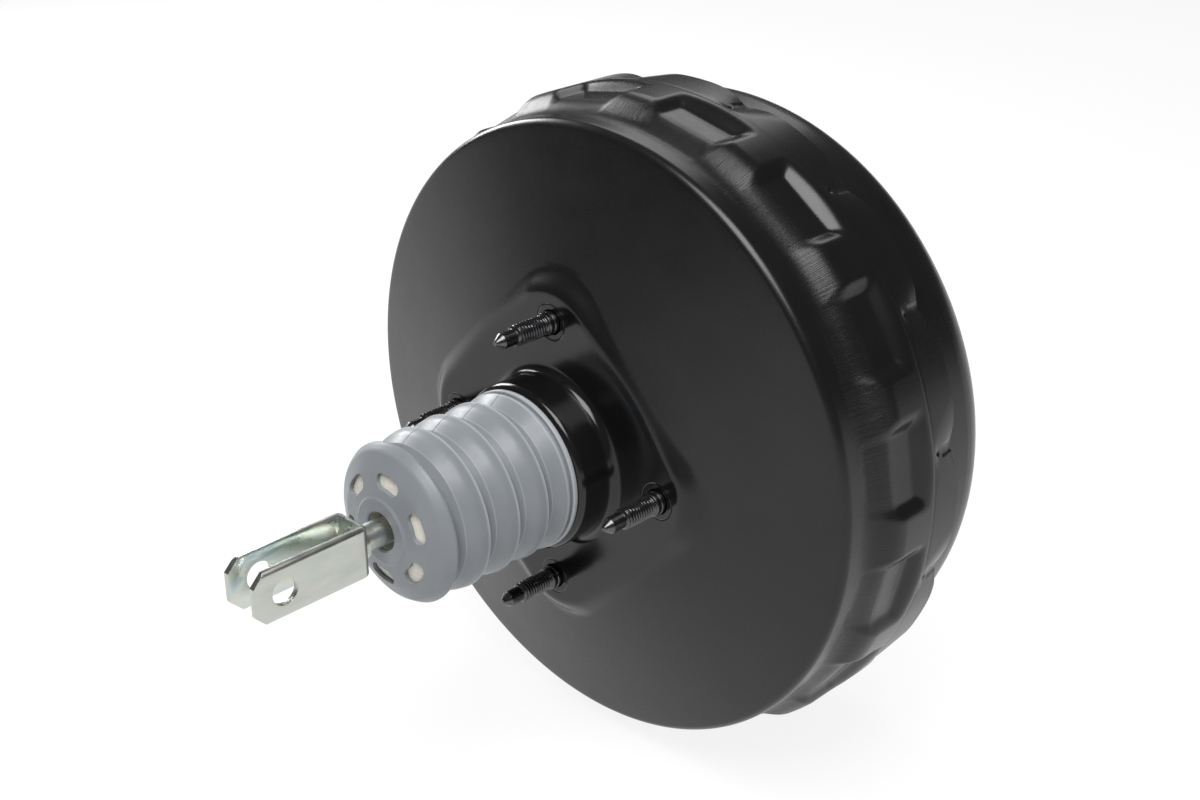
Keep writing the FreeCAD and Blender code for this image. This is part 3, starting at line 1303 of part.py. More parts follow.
# Vacuum check valve in its grommet, on the front face beside the boss
GROMMET_REAR = "(front_depth - front_gauge - seat_gap - grommet_gauge)"
GROMMET_FRONT = "(front_depth + seat_gap + grommet_gauge)"
CHECK_SEAT = "(%s + seat_gap + check_flange_gauge)" % GROMMET_FRONT
CHAMBER_END = "(%s + check_chamber_length)" % CHECK_SEAT
HOSE_END = "(%s + hose_length)" % CHAMBER_END
STEM_BARB = "(check_stem_radius + check_wall / 2)"
check_set = [
    turned("check_valve_grommet", [
        ("check_stem_radius + running_fit", GROMMET_REAR),
        ("grommet_radius - grommet_gauge / 2", GROMMET_REAR),
        ("grommet_radius - grommet_gauge / 2", "front_depth - front_gauge - seat_gap"),
        ("check_hole_radius - hole_clearance", "front_depth - front_gauge - seat_gap"),
        ("check_hole_radius - hole_clearance", "front_depth + seat_gap"),
        ("grommet_radius", "front_depth + seat_gap"),
        ("grommet_radius", GROMMET_FRONT),
        ("check_stem_radius + running_fit", GROMMET_FRONT),
    ]),
    turned("check_valve_body", [
        ("check_stem_radius - check_wall", "%s - 2 * check_wall" % GROMMET_REAR),
        ("check_stem_radius", "%s - 2 * check_wall" % GROMMET_REAR),
        (STEM_BARB, "%s - seat_gap - check_wall / 2" % GROMMET_REAR),
        (STEM_BARB, "%s - seat_gap" % GROMMET_REAR),
        ("check_stem_radius", "%s - seat_gap" % GROMMET_REAR),
        ("check_stem_radius", "%s + seat_gap" % GROMMET_FRONT),
        ("check_flange_radius", "%s + seat_gap" % GROMMET_FRONT),
        ("check_flange_radius", CHECK_SEAT),
        ("check_chamber_radius", CHECK_SEAT),
        ("check_chamber_radius", CHAMBER_END),
        ("hose_radius", CHAMBER_END),
        ("hose_radius", "%s - 2 * hose_barb_length" % HOSE_END),
        ("hose_radius + hose_barb", "%s - 2 * hose_barb_length" % HOSE_END),
        ("hose_radius", "%s - hose_barb_length" % HOSE_END),
        ("hose_radius + hose_barb", "%s - hose_barb_length" % HOSE_END),
        ("hose_radius - hose_barb / 2", HOSE_END),
        ("hose_bore", HOSE_END),
        ("hose_bore", "%s - check_wall" % CHAMBER_END),
        ("check_chamber_radius - check_wall", "%s - check_wall" % CHAMBER_END),
        ("check_chamber_radius - check_wall", CHECK_SEAT),
        ("check_stem_radius - check_wall", CHECK_SEAT),
    ]),
    turned("check_valve_disc", [
        ("0", "%s + seat_gap" % CHECK_SEAT),
        ("check_disc_radius", "%s + seat_gap" % CHECK_SEAT),
        ("check_disc_radius", "%s + seat_gap + check_disc_gauge" % CHECK_SEAT),
        ("0", "%s + seat_gap + check_disc_gauge" % CHECK_SEAT),
    ]),
    coil("check_valve_spring", "check_spring_radius", "check_spring_wire",
         "check_spring_turns", "%s + seat_gap + check_disc_gauge" % CHECK_SEAT,
         "%s - check_wall" % CHAMBER_END, 6, 16),
]
for body in check_set:
    body.setExpression("Placement.Base.x", bound("check_x"))
    body.setExpression("Placement.Base.z", bound("check_z"))
    keep(body)
doc.recompute()

# Every object has to be sound, and every piece one or more valid solids
for item in doc.Objects:
    if any(flag in ("Invalid", "Error") for flag in item.State):
        raise RuntimeError("%s is not sound: %s" % (item.Name, item.State))
for piece in parts:
    shape = piece.Shape
    if shape.isNull() or not shape.isValid() or not shape.Solids:
        raise RuntimeError("%s has no valid solid" % piece.Label)

os.makedirs("parts", exist_ok=True)
for piece in parts:
    piece.Shape.exportStep("parts/%s.step" % piece.Label)
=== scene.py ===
"""Brake booster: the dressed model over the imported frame.

Profiles and sizes are in millimetres, the meshes in metres. The booster's axis
is Y, the pedal is at -Y and Z is up. A profile is a list of (radius, place along
the axis, rounding of the corner).
"""
import math

import bmesh
import bpy
from mathutils import Matrix, Vector


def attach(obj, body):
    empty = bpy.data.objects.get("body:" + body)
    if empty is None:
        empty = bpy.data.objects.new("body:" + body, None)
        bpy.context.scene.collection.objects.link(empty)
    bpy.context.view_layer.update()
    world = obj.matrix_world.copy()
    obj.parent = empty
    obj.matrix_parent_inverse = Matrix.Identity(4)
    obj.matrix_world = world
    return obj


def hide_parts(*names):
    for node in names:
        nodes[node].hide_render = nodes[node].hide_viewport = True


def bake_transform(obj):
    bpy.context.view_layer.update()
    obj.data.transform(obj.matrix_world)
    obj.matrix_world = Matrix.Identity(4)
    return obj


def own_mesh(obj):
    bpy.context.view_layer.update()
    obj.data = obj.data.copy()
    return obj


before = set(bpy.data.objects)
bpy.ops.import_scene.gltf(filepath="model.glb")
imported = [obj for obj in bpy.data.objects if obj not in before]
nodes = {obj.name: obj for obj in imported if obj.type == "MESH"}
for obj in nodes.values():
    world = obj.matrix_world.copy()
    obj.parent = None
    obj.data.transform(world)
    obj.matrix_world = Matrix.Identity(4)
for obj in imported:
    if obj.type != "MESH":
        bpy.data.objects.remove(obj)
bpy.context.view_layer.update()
MM = 0.001
TURN = 2 * math.pi


# Mesh helpers: all of them take millimetres and make meshes in metres

def mesh_object(name, verts, faces, sharp=35.0):
    """A new object from points in millimetres, smooth but for sharp edges."""
    mesh = bpy.data.meshes.new(name)
    mesh.from_pydata([(x * MM, y * MM, z * MM) for x, y, z in verts], [], faces)
    mesh.update()
    mesh.polygons.foreach_set("use_smooth", [True] * len(mesh.polygons))
    mesh.set_sharp_from_angle(angle=math.radians(sharp))
    obj = bpy.data.objects.new(name, mesh)
    bpy.context.scene.collection.objects.link(obj)
    return obj


def rounded(points, steps=6):
    """The (radius, place) line of a profile, with its corners rounded."""
    line = []
    count = len(points)
    for k, (r, y, bend) in enumerate(points):
        here = Vector((r, y))
        if bend <= 0 or k in (0, count - 1):
            line.append((r, y))
            continue
        before = Vector(points[k - 1][:2]) - here
        after = Vector(points[k + 1][:2]) - here
        half = before.angle(after) / 2
        if half > math.pi / 2 - 0.01:
            line.append((r, y))
            continue
        reach = min(bend / math.tan(half), before.length * 0.49, after.length * 0.49)
        bend = reach * math.tan(half)
        centre = here + (before.normalized() + after.normalized()).normalized() * (
            bend / math.sin(half))
        start = here + before.normalized() * reach - centre
        end = here + after.normalized() * reach - centre
        swing = start.angle_signed(end)
        for s in range(steps + 1):
            turned = start.copy()
            turned.rotate(Matrix.Rotation(-swing * s / steps, 2))
            line.append(tuple(centre + turned))
    return line


def ring_points(line, columns):
    """The points of a line turned about the axis, ring by ring."""
    return [(r * math.cos(TURN * c / columns), y, r * math.sin(TURN * c / columns))
            for r, y in line for c in range(columns)]


def grid_faces(rows, columns, skip=None):
    """Faces of a grid that closes round the axis; rows run along the profile."""
    faces = []
    for j in range(rows - 1):
        for c in range(columns):
            if skip and skip(j, c):
                continue
            n = (c + 1) % columns
            faces.append((j * columns + c, (j + 1) * columns + c,
                          (j + 1) * columns + n, j * columns + n))
    return faces


def lathe(name, line, columns=128, loop=False, sharp=35.0):
    """Turns a line about the booster's axis; a loop joins its end to its start."""
    faces = grid_faces(len(line), columns)
    if loop:
        base = (len(line) - 1) * columns
        for c in range(columns):
            n = (c + 1) % columns
            faces.append((base + c, c, n, base + n))
    obj = mesh_object(name, ring_points(line, columns), faces, sharp)
    outward(obj)
    return obj


def outward(obj):
    """Turns all faces of a closed form to the outside."""
    form = bmesh.new()
    form.from_mesh(obj.data)
    bmesh.ops.remove_doubles(form, verts=form.verts, dist=1e-7)
    bmesh.ops.recalc_face_normals(form, faces=form.faces)
    form.to_mesh(obj.data)
    form.free()


def join(name, objects):
    """One object out of several new ones."""
    verts, faces = [], []
    for obj in objects:
        base = len(verts)
        verts += [tuple(v.co / MM) for v in obj.data.vertices]
        faces += [tuple(base + i for i in p.vertices) for p in obj.data.polygons]
        bpy.data.objects.remove(obj)
    return mesh_object(name, verts, faces)


def apply_modifiers(obj):
    """Makes the modified mesh the object's own."""
    bpy.context.view_layer.update()
    ready = bpy.data.meshes.new_from_object(
        obj.evaluated_get(bpy.context.evaluated_depsgraph_get()))
    obj.modifiers.clear()
    obj.data = ready


def cad_copy(name, source, bevel=0.0):
    """A welded copy of a CAD node, with its edges broken by a small bevel."""
    form = bmesh.new()
    form.from_mesh(nodes[source].data)
    bmesh.ops.remove_doubles(form, verts=form.verts, dist=1e-6)
    bmesh.ops.dissolve_limit(form, angle_limit=math.radians(0.5),
                             verts=form.verts, edges=form.edges)
    mesh = bpy.data.meshes.new(name)
    form.to_mesh(mesh)
    form.free()
    mesh.polygons.foreach_set("use_smooth", [True] * len(mesh.polygons))
    obj = bpy.data.objects.new(name, mesh)
    bpy.context.scene.collection.objects.link(obj)
    if bevel:
        soft = obj.modifiers.new("edges", "BEVEL")
        soft.width = bevel * MM
        soft.segments = 3
        soft.limit_method = "ANGLE"
        soft.angle_limit = math.radians(40)
        soft.harden_normals = True
        apply_modifiers(obj)
    obj.data.set_sharp_from_angle(angle=math.radians(50))
    return obj


# Node helpers

def graph(name):
    """A new material, its node tree and its shader."""
    mat = bpy.data.materials.new(name)
    mat.use_nodes = True
    return mat, mat.node_tree, mat.node_tree.nodes["Principled BSDF"]


def add(tree, kind, **values):
    """A new node, with its sockets or its settings given by name."""
    node = tree.nodes.new(kind)
    for key, value in values.items():
        if key in node.inputs:
            node.inputs[key].default_value = value
        else:
            setattr(node, key, value)
    return node


def math_node(tree, operation, a, b=None):
    """The result of a calculation with outputs of nodes or numbers."""
    node = tree.nodes.new("ShaderNodeMath")
    node.operation = operation
    for slot, value in zip(node.inputs, (a, b)):
        if value is None:
            continue
        if isinstance(value, (int, float)):
            slot.default_value = value
        else:
            tree.links.new(value, slot)
    return node.outputs[0]


def length(tree, a, b):
    """The length of the vector (a, b)."""
    return math_node(tree, "SQRT", math_node(
        tree, "ADD", math_node(tree, "MULTIPLY", a, a),
        math_node(tree, "MULTIPLY", b, b)))


def tent(tree, away, width):
    """1 where away is 0, falling evenly to 0 at width millimetres."""
    share = math_node(tree, "DIVIDE", math_node(tree, "ABSOLUTE", away), width * MM)
    return math_node(tree, "SUBTRACT", 1.0, math_node(tree, "MINIMUM", share, 1.0))


def object_parts(tree):
    """X, Y and Z of the object's own coordinates, in metres."""
    coords = tree.nodes.new("ShaderNodeTexCoord")
    parts = tree.nodes.new("ShaderNodeSeparateXYZ")
    tree.links.new(coords.outputs["Object"], parts.inputs["Vector"])
    return parts.outputs


def noise(tree, size, detail=4.0, stretch=(1, 1, 1), rough=0.55, distortion=0.0):
    """Noise whose grains are about size millimetres, squeezed by stretch."""
    coords = tree.nodes.new("ShaderNodeTexCoord")
    mapping = tree.nodes.new("ShaderNodeMapping")
    mapping.inputs["Scale"].default_value = [1000 * s for s in stretch]
    tree.links.new(coords.outputs["Object"], mapping.inputs["Vector"])
    node = add(tree, "ShaderNodeTexNoise", Scale=1.0 / size, Detail=detail,
               Roughness=rough, Distortion=distortion)
    tree.links.new(mapping.outputs["Vector"], node.inputs["Vector"])
    return node.outputs["Fac"]


def remap(tree, source, low, high, to_low, to_high, smooth=False):
    """Carries the range low to high over to another, evenly or smoothly."""
    node = tree.nodes.new("ShaderNodeMapRange")
    if smooth:
        node.interpolation_type = "SMOOTHSTEP"
    for key, number in (("From Min", low), ("From Max", high),
                        ("To Min", to_low), ("To Max", to_high)):
        node.inputs[key].default_value = number
    tree.links.new(source, node.inputs["Value"])
    return node.outputs["Result"]


def spread(tree, source, low, high):
    """Carries the middle of a noise's values over to the range low to high."""
    return remap(tree, source, 0.3, 0.7, low, high)


def ramp(tree, source, stops):
    """Colours at places from 0 to 1."""
    node = tree.nodes.new("ShaderNodeValToRGB")
    band = node.color_ramp
    while len(band.elements) < len(stops):
        band.elements.new(0.5)
    for element, (place, colour) in zip(band.elements, stops):
        element.position = place
        element.color = (*colour, 1)
    tree.links.new(source, node.inputs["Fac"])
    return node.outputs["Color"]


def mixed(tree, factor, first, second):
    """Colour first where factor is 0, second (an output or a colour) where it is 1."""
    node = add(tree, "ShaderNodeMix", data_type="RGBA")
    tree.links.new(factor, node.inputs["Factor"])
    tree.links.new(first, node.inputs["A"])
    if isinstance(second, tuple):
        node.inputs["B"].default_value = (*second, 1)
    else:
        tree.links.new(second, node.inputs["B"])
    return node.outputs["Result"]


def bump(tree, heights, shader):
    """Chains bumps: each entry is (height output, strength, depth in mm)."""
    before = None
    for height, strength, depth in heights:
        node = add(tree, "ShaderNodeBump", Strength=strength, Distance=depth * MM)
        tree.links.new(height, node.inputs["Height"])
        if before:
            tree.links.new(before, node.inputs["Normal"])
        before = node.outputs["Normal"]
    tree.links.new(before, shader.inputs["Normal"])


# Finishes

PAINT_SPECULAR = 0.42
STUD_CIRCLE = 53.9
PRESS_RING, PRESS_RING_WIDTH = 7.0, 0.35
PAD_GLOSS_FROM, PAD_GLOSS_TO = 0.2, 2.2
MARKS_FROM, MARKS_FULL, MARKS_WANE, MARKS_TO = 26.0, 31.0, 40.0, 44.0
MARKS_ROUND, MARKS_ALONG = 150.0, 14.0
SEAM, SEAM_WIDTH = math.radians(100), 0.30
CUP_PLACE = -72.0
# radii of the painted highlights: the fold crests, and the edge where each flank turns down
# into its valley
CREST_FROM, CREST_TO = 30.4, 30.58
FOLD_EDGE, FOLD_EDGE_WIDTH = 27.45, 0.22
CLEVIS_INNER, CLEVIS_OUTER = 5.95, 6.15


def plain_finish(name, dark, light, grain, rough, metallic=0.0, relief=(0.3, 0.02),
                 relief_grain=None, specular=0.5, sheen=0.0):
    """A finish with mottled colour, varied gloss and a fine relief."""
    mat, tree, shader = graph(name)
    tree.links.new(ramp(tree, noise(tree, grain, 5.0), [(0.3, dark), (0.7, light)]),
                   shader.inputs["Base Color"])
    tree.links.new(spread(tree, noise(tree, grain * 0.4), *rough),
                   shader.inputs["Roughness"])
    bump(tree, [(noise(tree, relief_grain or grain * 0.15, 6.0), *relief)], shader)
    shader.inputs["Metallic"].default_value = metallic
    shader.inputs["Specular IOR Level"].default_value = specular
    if sheen:
        shader.inputs["Sheen Weight"].default_value = sheen
        shader.inputs["Sheen Roughness"].default_value = 0.5
    return mat


def press_rings(tree, parts):
    """A soft groove round each of the four studs of the pad."""
    rings = None
    for x, z in ((1, 0), (0, 1), (-1, 0), (0, -1)):
        away = length(tree, math_node(tree, "SUBTRACT", parts["X"], x * STUD_CIRCLE * MM),
                      math_node(tree, "SUBTRACT", parts["Z"], z * STUD_CIRCLE * MM))
        ring = tent(tree, math_node(tree, "SUBTRACT", away, PRESS_RING * MM),
                    PRESS_RING_WIDTH)
        rings = ring if rings is None else math_node(tree, "MAXIMUM", rings, ring)
    return rings


def drawing_marks(tree, parts):
    """Fine axial scratches on the shoulder, which fade out at both ends."""
    angle = math_node(tree, "ARCTAN2", parts["Z"], parts["X"])
    where = tree.nodes.new("ShaderNodeCombineXYZ")
    tree.links.new(math_node(tree, "MULTIPLY", angle, MARKS_ROUND), where.inputs["X"])
    tree.links.new(math_node(tree, "MULTIPLY", parts["Y"], MARKS_ALONG),
                   where.inputs["Y"])
    marks = add(tree, "ShaderNodeTexNoise", Scale=1.6, Detail=5.0, Roughness=0.65)
    tree.links.new(where.outputs["Vector"], marks.inputs["Vector"])
    start = remap(tree, parts["Y"], MARKS_FROM * MM, MARKS_FULL * MM, 0.0, 1.0,
                  smooth=True)
    end = remap(tree, parts["Y"], MARKS_WANE * MM, MARKS_TO * MM, 1.0, 0.0,
                smooth=True)
    return math_node(tree, "MULTIPLY", math_node(tree, "MULTIPLY", start, end),
                     marks.outputs["Fac"])


def shell_paint(name, drawn):
    """Black paint over sheet steel; drawn adds the marks of the rear shell's press."""
    mat, tree, shader = graph(name)
    tree.links.new(ramp(tree, noise(tree, 30.0, 3.0), [
        (0.3, (0.0055, 0.0055, 0.006)), (0.7, (0.0085, 0.0082, 0.0084))]),
        shader.inputs["Base Color"])
    shader.inputs["Specular IOR Level"].default_value = PAINT_SPECULAR
    gloss = math_node(tree, "ADD", spread(tree, noise(tree, 18.0), 0.25, 0.31),
                      spread(tree, noise(tree, 0.5, 3.0), -0.02, 0.02))
    heights = [(noise(tree, 1.3, 3.0), 0.25, 0.004)]
    if drawn:
        parts = object_parts(tree)
        # the flat pad is glossier than the cone around it
        pad = remap(tree, parts["Y"], PAD_GLOSS_FROM * MM, PAD_GLOSS_TO * MM,
                    -0.11, 0.0, smooth=True)
        gloss = math_node(tree, "ADD", gloss, pad)
        scratch = drawing_marks(tree, parts)
        heights += [(scratch, 0.75, 0.25), (press_rings(tree, parts), 0.9, -0.22)]
        gloss = math_node(tree, "ADD", gloss, math_node(tree, "MULTIPLY", scratch, 0.10))
    tree.links.new(gloss, shader.inputs["Roughness"])
    bump(tree, heights, shader)
    return mat


def zinc_finish(name):
    """Zinc plating whose thin passivation film is stronger on the inner faces."""
    mat, tree, shader = graph(name)
    film = noise(tree, 14.0, 3.0, (1, 0.6, 1), 0.5, 0.8)
    outer = ramp(tree, film, [
        (0.25, (0.50, 0.53, 0.54)), (0.42, (0.55, 0.56, 0.51)),
        (0.55, (0.52, 0.55, 0.51)), (0.68, (0.56, 0.54, 0.51)),
        (0.82, (0.49, 0.52, 0.53))])
    inner = ramp(tree, film, [
        (0.25, (0.54, 0.66, 0.71)), (0.42, (0.60, 0.68, 0.67)),
        (0.55, (0.67, 0.67, 0.58)), (0.68, (0.54, 0.65, 0.68)),
        (0.82, (0.60, 0.60, 0.66))])
    across = math_node(tree, "ABSOLUTE", object_parts(tree)["X"])
    outside = remap(tree, across, CLEVIS_INNER * MM, CLEVIS_OUTER * MM, 0.0, 1.0)
    tree.links.new(mixed(tree, outside, inner, outer), shader.inputs["Base Color"])
    tree.links.new(spread(tree, noise(tree, 3.0, 6.0, (1, 0.25, 1)), 0.24, 0.42),
                   shader.inputs["Roughness"])
    bump(tree, [(noise(tree, 0.35, 4.0, (1, 0.2, 1)), 0.4, 0.014),
                (noise(tree, 6.0, 2.0), 0.25, 0.05)], shader)
    shader.inputs["Metallic"].default_value = 1.0
    return mat


def rubber_finish(name, dark, light):
    """Moulded silicone rubber with a faint bloom, painted highlights on the fold crests and
    fold edges, and a mould seam darkened with painted shade.
    """
    mat, tree, shader = graph(name)
    colour = ramp(tree, noise(tree, 22.0, 5.0, (1, 1.6, 1)), [(0.28, dark), (0.72, light)])
    tree.links.new(spread(tree, noise(tree, 5.0, 5.0), 0.34, 0.46),
                   shader.inputs["Roughness"])
    shader.inputs["Specular IOR Level"].default_value = 0.42
    shader.inputs["Sheen Weight"].default_value = 0.12
    shader.inputs["Sheen Roughness"].default_value = 0.4
    parts = object_parts(tree)
    folds_only = math_node(tree, "GREATER_THAN", parts["Y"], CUP_PLACE * MM)
    off_seam = math_node(tree, "ADD",
                         math_node(tree, "MULTIPLY", parts["X"], math.sin(SEAM)),
                         math_node(tree, "MULTIPLY", parts["Z"], -math.cos(SEAM)))
    seam = math_node(tree, "MULTIPLY", tent(tree, off_seam, SEAM_WIDTH), folds_only)
    radius = length(tree, parts["X"], parts["Z"])
    # painted highlight: the outer rim of each fold crest is lightened, where its tight
    # rounding catches the light
    crest = remap(tree, radius, CREST_FROM * MM, CREST_TO * MM, 0.0, 0.85)
    # painted highlight: a thin light line at the edge where a fold's flank turns steeply
    # into its valley
    off_edge = math_node(tree, "SUBTRACT", radius, FOLD_EDGE * MM)
    edge = math_node(tree, "MULTIPLY", tent(tree, off_edge, FOLD_EDGE_WIDTH),
                     math_node(tree, "MULTIPLY", folds_only, 0.5))
    # both masks mix in the light grey of the painted highlights
    painted_highlights = mixed(tree, math_node(tree, "MAXIMUM", crest, edge), colour,
                   (0.46, 0.48, 0.50))
    # painted shade: the base colour is darkened along the mould seam, on top of its bumped
    # groove
    seam_painted_shade = mixed(tree, math_node(tree, "MULTIPLY", seam, 0.7), painted_highlights,
                  (0.10, 0.11, 0.12))
    tree.links.new(seam_painted_shade, shader.inputs["Base Color"])
    bump(tree, [(noise(tree, 0.8, 3.0), 0.18, 0.02), (seam, 0.7, -0.2)], shader)
    return mat


FINISHES = {
    "shell_paint": shell_paint("shell_paint", True),
    "front_paint": shell_paint("front_paint", False),
    "zinc_plate": zinc_finish("zinc_plate"),
    "boot_rubber": rubber_finish("boot_rubber", (0.225, 0.242, 0.262),
                                 (0.255, 0.273, 0.293)),
}
# name, dark and light colour, grain in millimetres, roughness from and to
for name, dark, light, grain, rough, more in (
    ("stud_black", (0.075, 0.075, 0.08), (0.125, 0.125, 0.127), 2.5, (0.18, 0.28),
     {"metallic": 0.95, "relief": (0.3, 0.008)}),
    ("felt", (0.82, 0.77, 0.66), (0.94, 0.91, 0.83), 1.2, (0.85, 0.95),
     {"relief": (0.9, 0.25), "relief_grain": 0.35, "specular": 0.2, "sheen": 0.4}),
    ("foam", (0.04, 0.04, 0.042), (0.09, 0.09, 0.092), 0.8, (0.8, 0.95),
     {"relief": (1.0, 0.4), "relief_grain": 0.5, "specular": 0.2}),
    ("housing_plastic", (0.035, 0.034, 0.033), (0.05, 0.049, 0.047), 8.0, (0.38, 0.5),
     {"relief": (0.25, 0.02), "relief_grain": 0.4}),
    ("bush_plastic", (0.55, 0.54, 0.50), (0.63, 0.62, 0.58), 6.0, (0.35, 0.45),
     {"relief": (0.2, 0.02)}),
    ("pressed_steel", (0.36, 0.36, 0.35), (0.50, 0.50, 0.48), 10.0, (0.28, 0.42),
     {"metallic": 1.0, "relief": (0.3, 0.015), "relief_grain": 0.5}),
    ("spring_steel", (0.20, 0.20, 0.20), (0.34, 0.34, 0.35), 4.0, (0.25, 0.38),
     {"metallic": 1.0, "relief": (0.3, 0.01)}),
    ("black_rubber", (0.014, 0.014, 0.014), (0.024, 0.024, 0.024), 6.0, (0.5, 0.65),
     {"relief": (0.3, 0.03), "relief_grain": 0.7, "specular": 0.4}),
    ("plunger_metal", (0.60, 0.58, 0.52), (0.70, 0.68, 0.62), 5.0, (0.2, 0.32),
     {"metallic": 1.0, "relief": (0.2, 0.008)}),
    ("valve_plastic", (0.012, 0.012, 0.013), (0.022, 0.022, 0.023), 7.0, (0.32, 0.45),
     {"relief": (0.25, 0.02), "relief_grain": 0.5}),
):
    FINISHES[name] = plain_finish(name, dark, light, grain, rough, **more)


def dress(obj, finish):
    obj.data.materials.clear()
    obj.data.materials.append(FINISHES[finish])


def piece(obj, finish, body, stands_for):
    """Finishes a new piece: material, the body it rides on and what it replaces."""
    dress(obj, finish)
    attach(obj, body)
    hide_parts(stands_for)


# Rear shell: a grid of rows along the profile and columns round the axis, and
# a plain turned form inside

GAUGE = 1.4
NECK_R, NECK_BORE, NECK_END = 32.7, 27.0, -17.0
PAD_HALF, PAD_ROUND, PAD_LEAD, PAD_RAMP = 51.6, 19.0, 1.5, 9.5
WALL_R, WALL_END, WALL_ROUND = 123.8, 30.0, 5.9
CONE_DEPTH, CONE_SOFT, CONE_ROWS_END = 19.7, 1.1, 118.0
SLOPE = CONE_DEPTH / (WALL_R - PAD_HALF)
SHOULDER_START, SHOULDER_END, SHOULDER_SOFT, SKIRT_SOFT = 32.5, 41.5, 2.8, 3.2
SKIRT_R, SKIRT_END, EDGE_ROUND = 130.8, 75.7, 0.2

# pockets: a floor that runs down to the wall as a ramp before its ridge
POCKETS, PHASE = 16, math.radians(10)
FLOOR_H, FLOOR_HALF, FLOOR_END = 126.0, 13.25, 52.5
RIDGE, RAMP_LEAD = 40.0, 1.5
RAMP_FOOT, FOOT_SLOPE = 31.0, 0.6
FLOOR_SOFT, CORNER_SOFT, BORDER_SOFT = 1.2, 3.2, 2.9

# crimps: a valley that widens and deepens to the edge, with a slit across it
CRIMP_START, LANCE = 60.5, 67.2
SLIT = (LANCE - 0.01, LANCE + 0.03)
SLIT_HALF = 2.4
CRIMP_HALF, CRIMP_SPREAD = 3.0, 8.0
CRIMP_DEPTH, CRIMP_DEEPENS = 0.4, 2.1
CRIMP_LEAD, CRIMP_ROUND = 0.25, 1.3
CRIMP_SOFT, CRIMP_SOFTENS = 0.5, 1.1
TONGUE_HALF, TONGUE_DEPTH, TONGUE_SOFT = 2.7, 0.35, 1.0
DIMPLE_PLACE, DIMPLE_R, DIMPLE_DEPTH, DIMPLE_SOFT = 64.2, 1.3, 0.5, 0.9
DIP_START, DIP_LENGTH, DIP_DEPTH = 69.0, 6.0, 1.2
DIP_HALF, DIP_SOFT = 10.5, 9.0

# spacing of the grid: columns from a pocket's middle, rows on the pad and the
# cone, rows on the crown, and rows inside the skirt
FIRST_COLUMN, FINE_STEP, FINE_COUNT = 0.2, 0.4, 15
STEP, COARSE_STEP, COARSE_FROM, LAST_GAP = 0.62, 1.2, 19.5, 0.8
PAD_ROWS_START, PAD_ROW_STEP, CONE_ROW_STEP = 43.5, 0.8, 2.5
PAD_SIDE_FROM, PAD_SIDE_TO = 46, 72
ROW_STEP, EDGE_ROW, SLIT_CLEAR = 0.5, 0.25, 0.26
INSIDE_PLACES = (SKIRT_END, 72.0, 68.5, 67.5, 66.9, 65.0, 62.0, 58.0)


def smooth_min(a, b, k):
    """The lesser of two heights, rounded where they meet within k."""
    h = max(k - abs(a - b), 0.0) / k
    return min(a, b) - h * h * k / 4


def smooth_max(a, b, k):
    return -smooth_min(-a, -b, k)


def ease(t):
    """0 up to t = 0, 1 from t = 1 on, smooth between."""
    t = min(max(t, 0.0), 1.0)
    return t * t * (3 - 2 * t)


def pad_distance(x, z):
    """Distance outside the rounded square that stands on one corner."""
    a = abs(x + z) / math.sqrt(2) - (PAD_HALF - PAD_ROUND)
    b = abs(x - z) / math.sqrt(2) - (PAD_HALF - PAD_ROUND)
    return math.hypot(max(a, 0.0), max(b, 0.0)) + min(max(a, b), 0.0) - PAD_ROUND


def pad_height(x, z):
    """Place along the axis of the pad and the cone around it."""
    cone = smooth_max(0.0, (math.hypot(x, z) - PAD_HALF) * SLOPE, CONE_SOFT)
    return cone * ease((pad_distance(x, z) + PAD_LEAD) / PAD_RAMP)


def crown_base(y):
    """Radius of the plain form between wall and edge."""
    rise = WALL_R + (y - SHOULDER_START) * (SKIRT_R - WALL_R) / (
        SHOULDER_END - SHOULDER_START)
    return smooth_min(smooth_max(WALL_R, rise, SHOULDER_SOFT), SKIRT_R, SKIRT_SOFT)


def pocket_radius(y, u, phi):
    """Radius of a pocket's floor, side walls and front wall, u from its middle."""
    floor = FLOOR_H
    if y < RIDGE:
        floor = max(WALL_R, FLOOR_H - (RIDGE - y) * (FLOOR_H - WALL_R)
                    / (RIDGE - SHOULDER_START + RAMP_LEAD))
        floor += max(0.0, RAMP_FOOT - y) * FOOT_SLOPE
    side = smooth_max(u - FLOOR_HALF, 0.0, FLOOR_SOFT)
    front = smooth_max(y - FLOOR_END, 0.0, FLOOR_SOFT)
    return (floor + smooth_max(side, front, CORNER_SOFT)) / math.cos(phi)


def crimped(radius, y, u):
    """The radius with the crimp's valley, its tongue and its dimple pressed in."""
    share = (y - CRIMP_START) / (SKIRT_END - CRIMP_START)
    half = CRIMP_HALF + CRIMP_SPREAD * share
    tongue = 0.0
    if y > LANCE:
        tongue = TONGUE_DEPTH * ease((TONGUE_HALF - u) / TONGUE_SOFT)
    depth = CRIMP_DEPTH + CRIMP_DEEPENS * share + tongue
    depth *= ease(share / CRIMP_LEAD)
    aside = math.hypot(u, CRIMP_ROUND) - CRIMP_ROUND
    valley = SKIRT_R - depth * (1 - aside / half)
    soft = CRIMP_SOFT + CRIMP_SOFTENS * share
    radius = min(radius, smooth_min(SKIRT_R, valley, soft))
    away = math.hypot(u, y - DIMPLE_PLACE)
    return radius - DIMPLE_DEPTH * ease((DIMPLE_R - away) / DIMPLE_SOFT)


def crown_radius(y, phi):
    """Radius at a place along the axis and an angle from the nearest pocket's middle."""
    u = abs(SKIRT_R * math.sin(phi))
    radius = smooth_min(crown_base(y), pocket_radius(y, u, phi), BORDER_SOFT)
    return crimped(radius, y, u) if y > CRIMP_START else radius


def edge_dip(y, phi):
    """How far the edge is drawn back where a crimp is pressed in."""
    u = abs(SKIRT_R * phi)
    aside = ease((DIP_HALF - u) / DIP_SOFT)
    return DIP_DEPTH * ease((y - DIP_START) / DIP_LENGTH) * aside


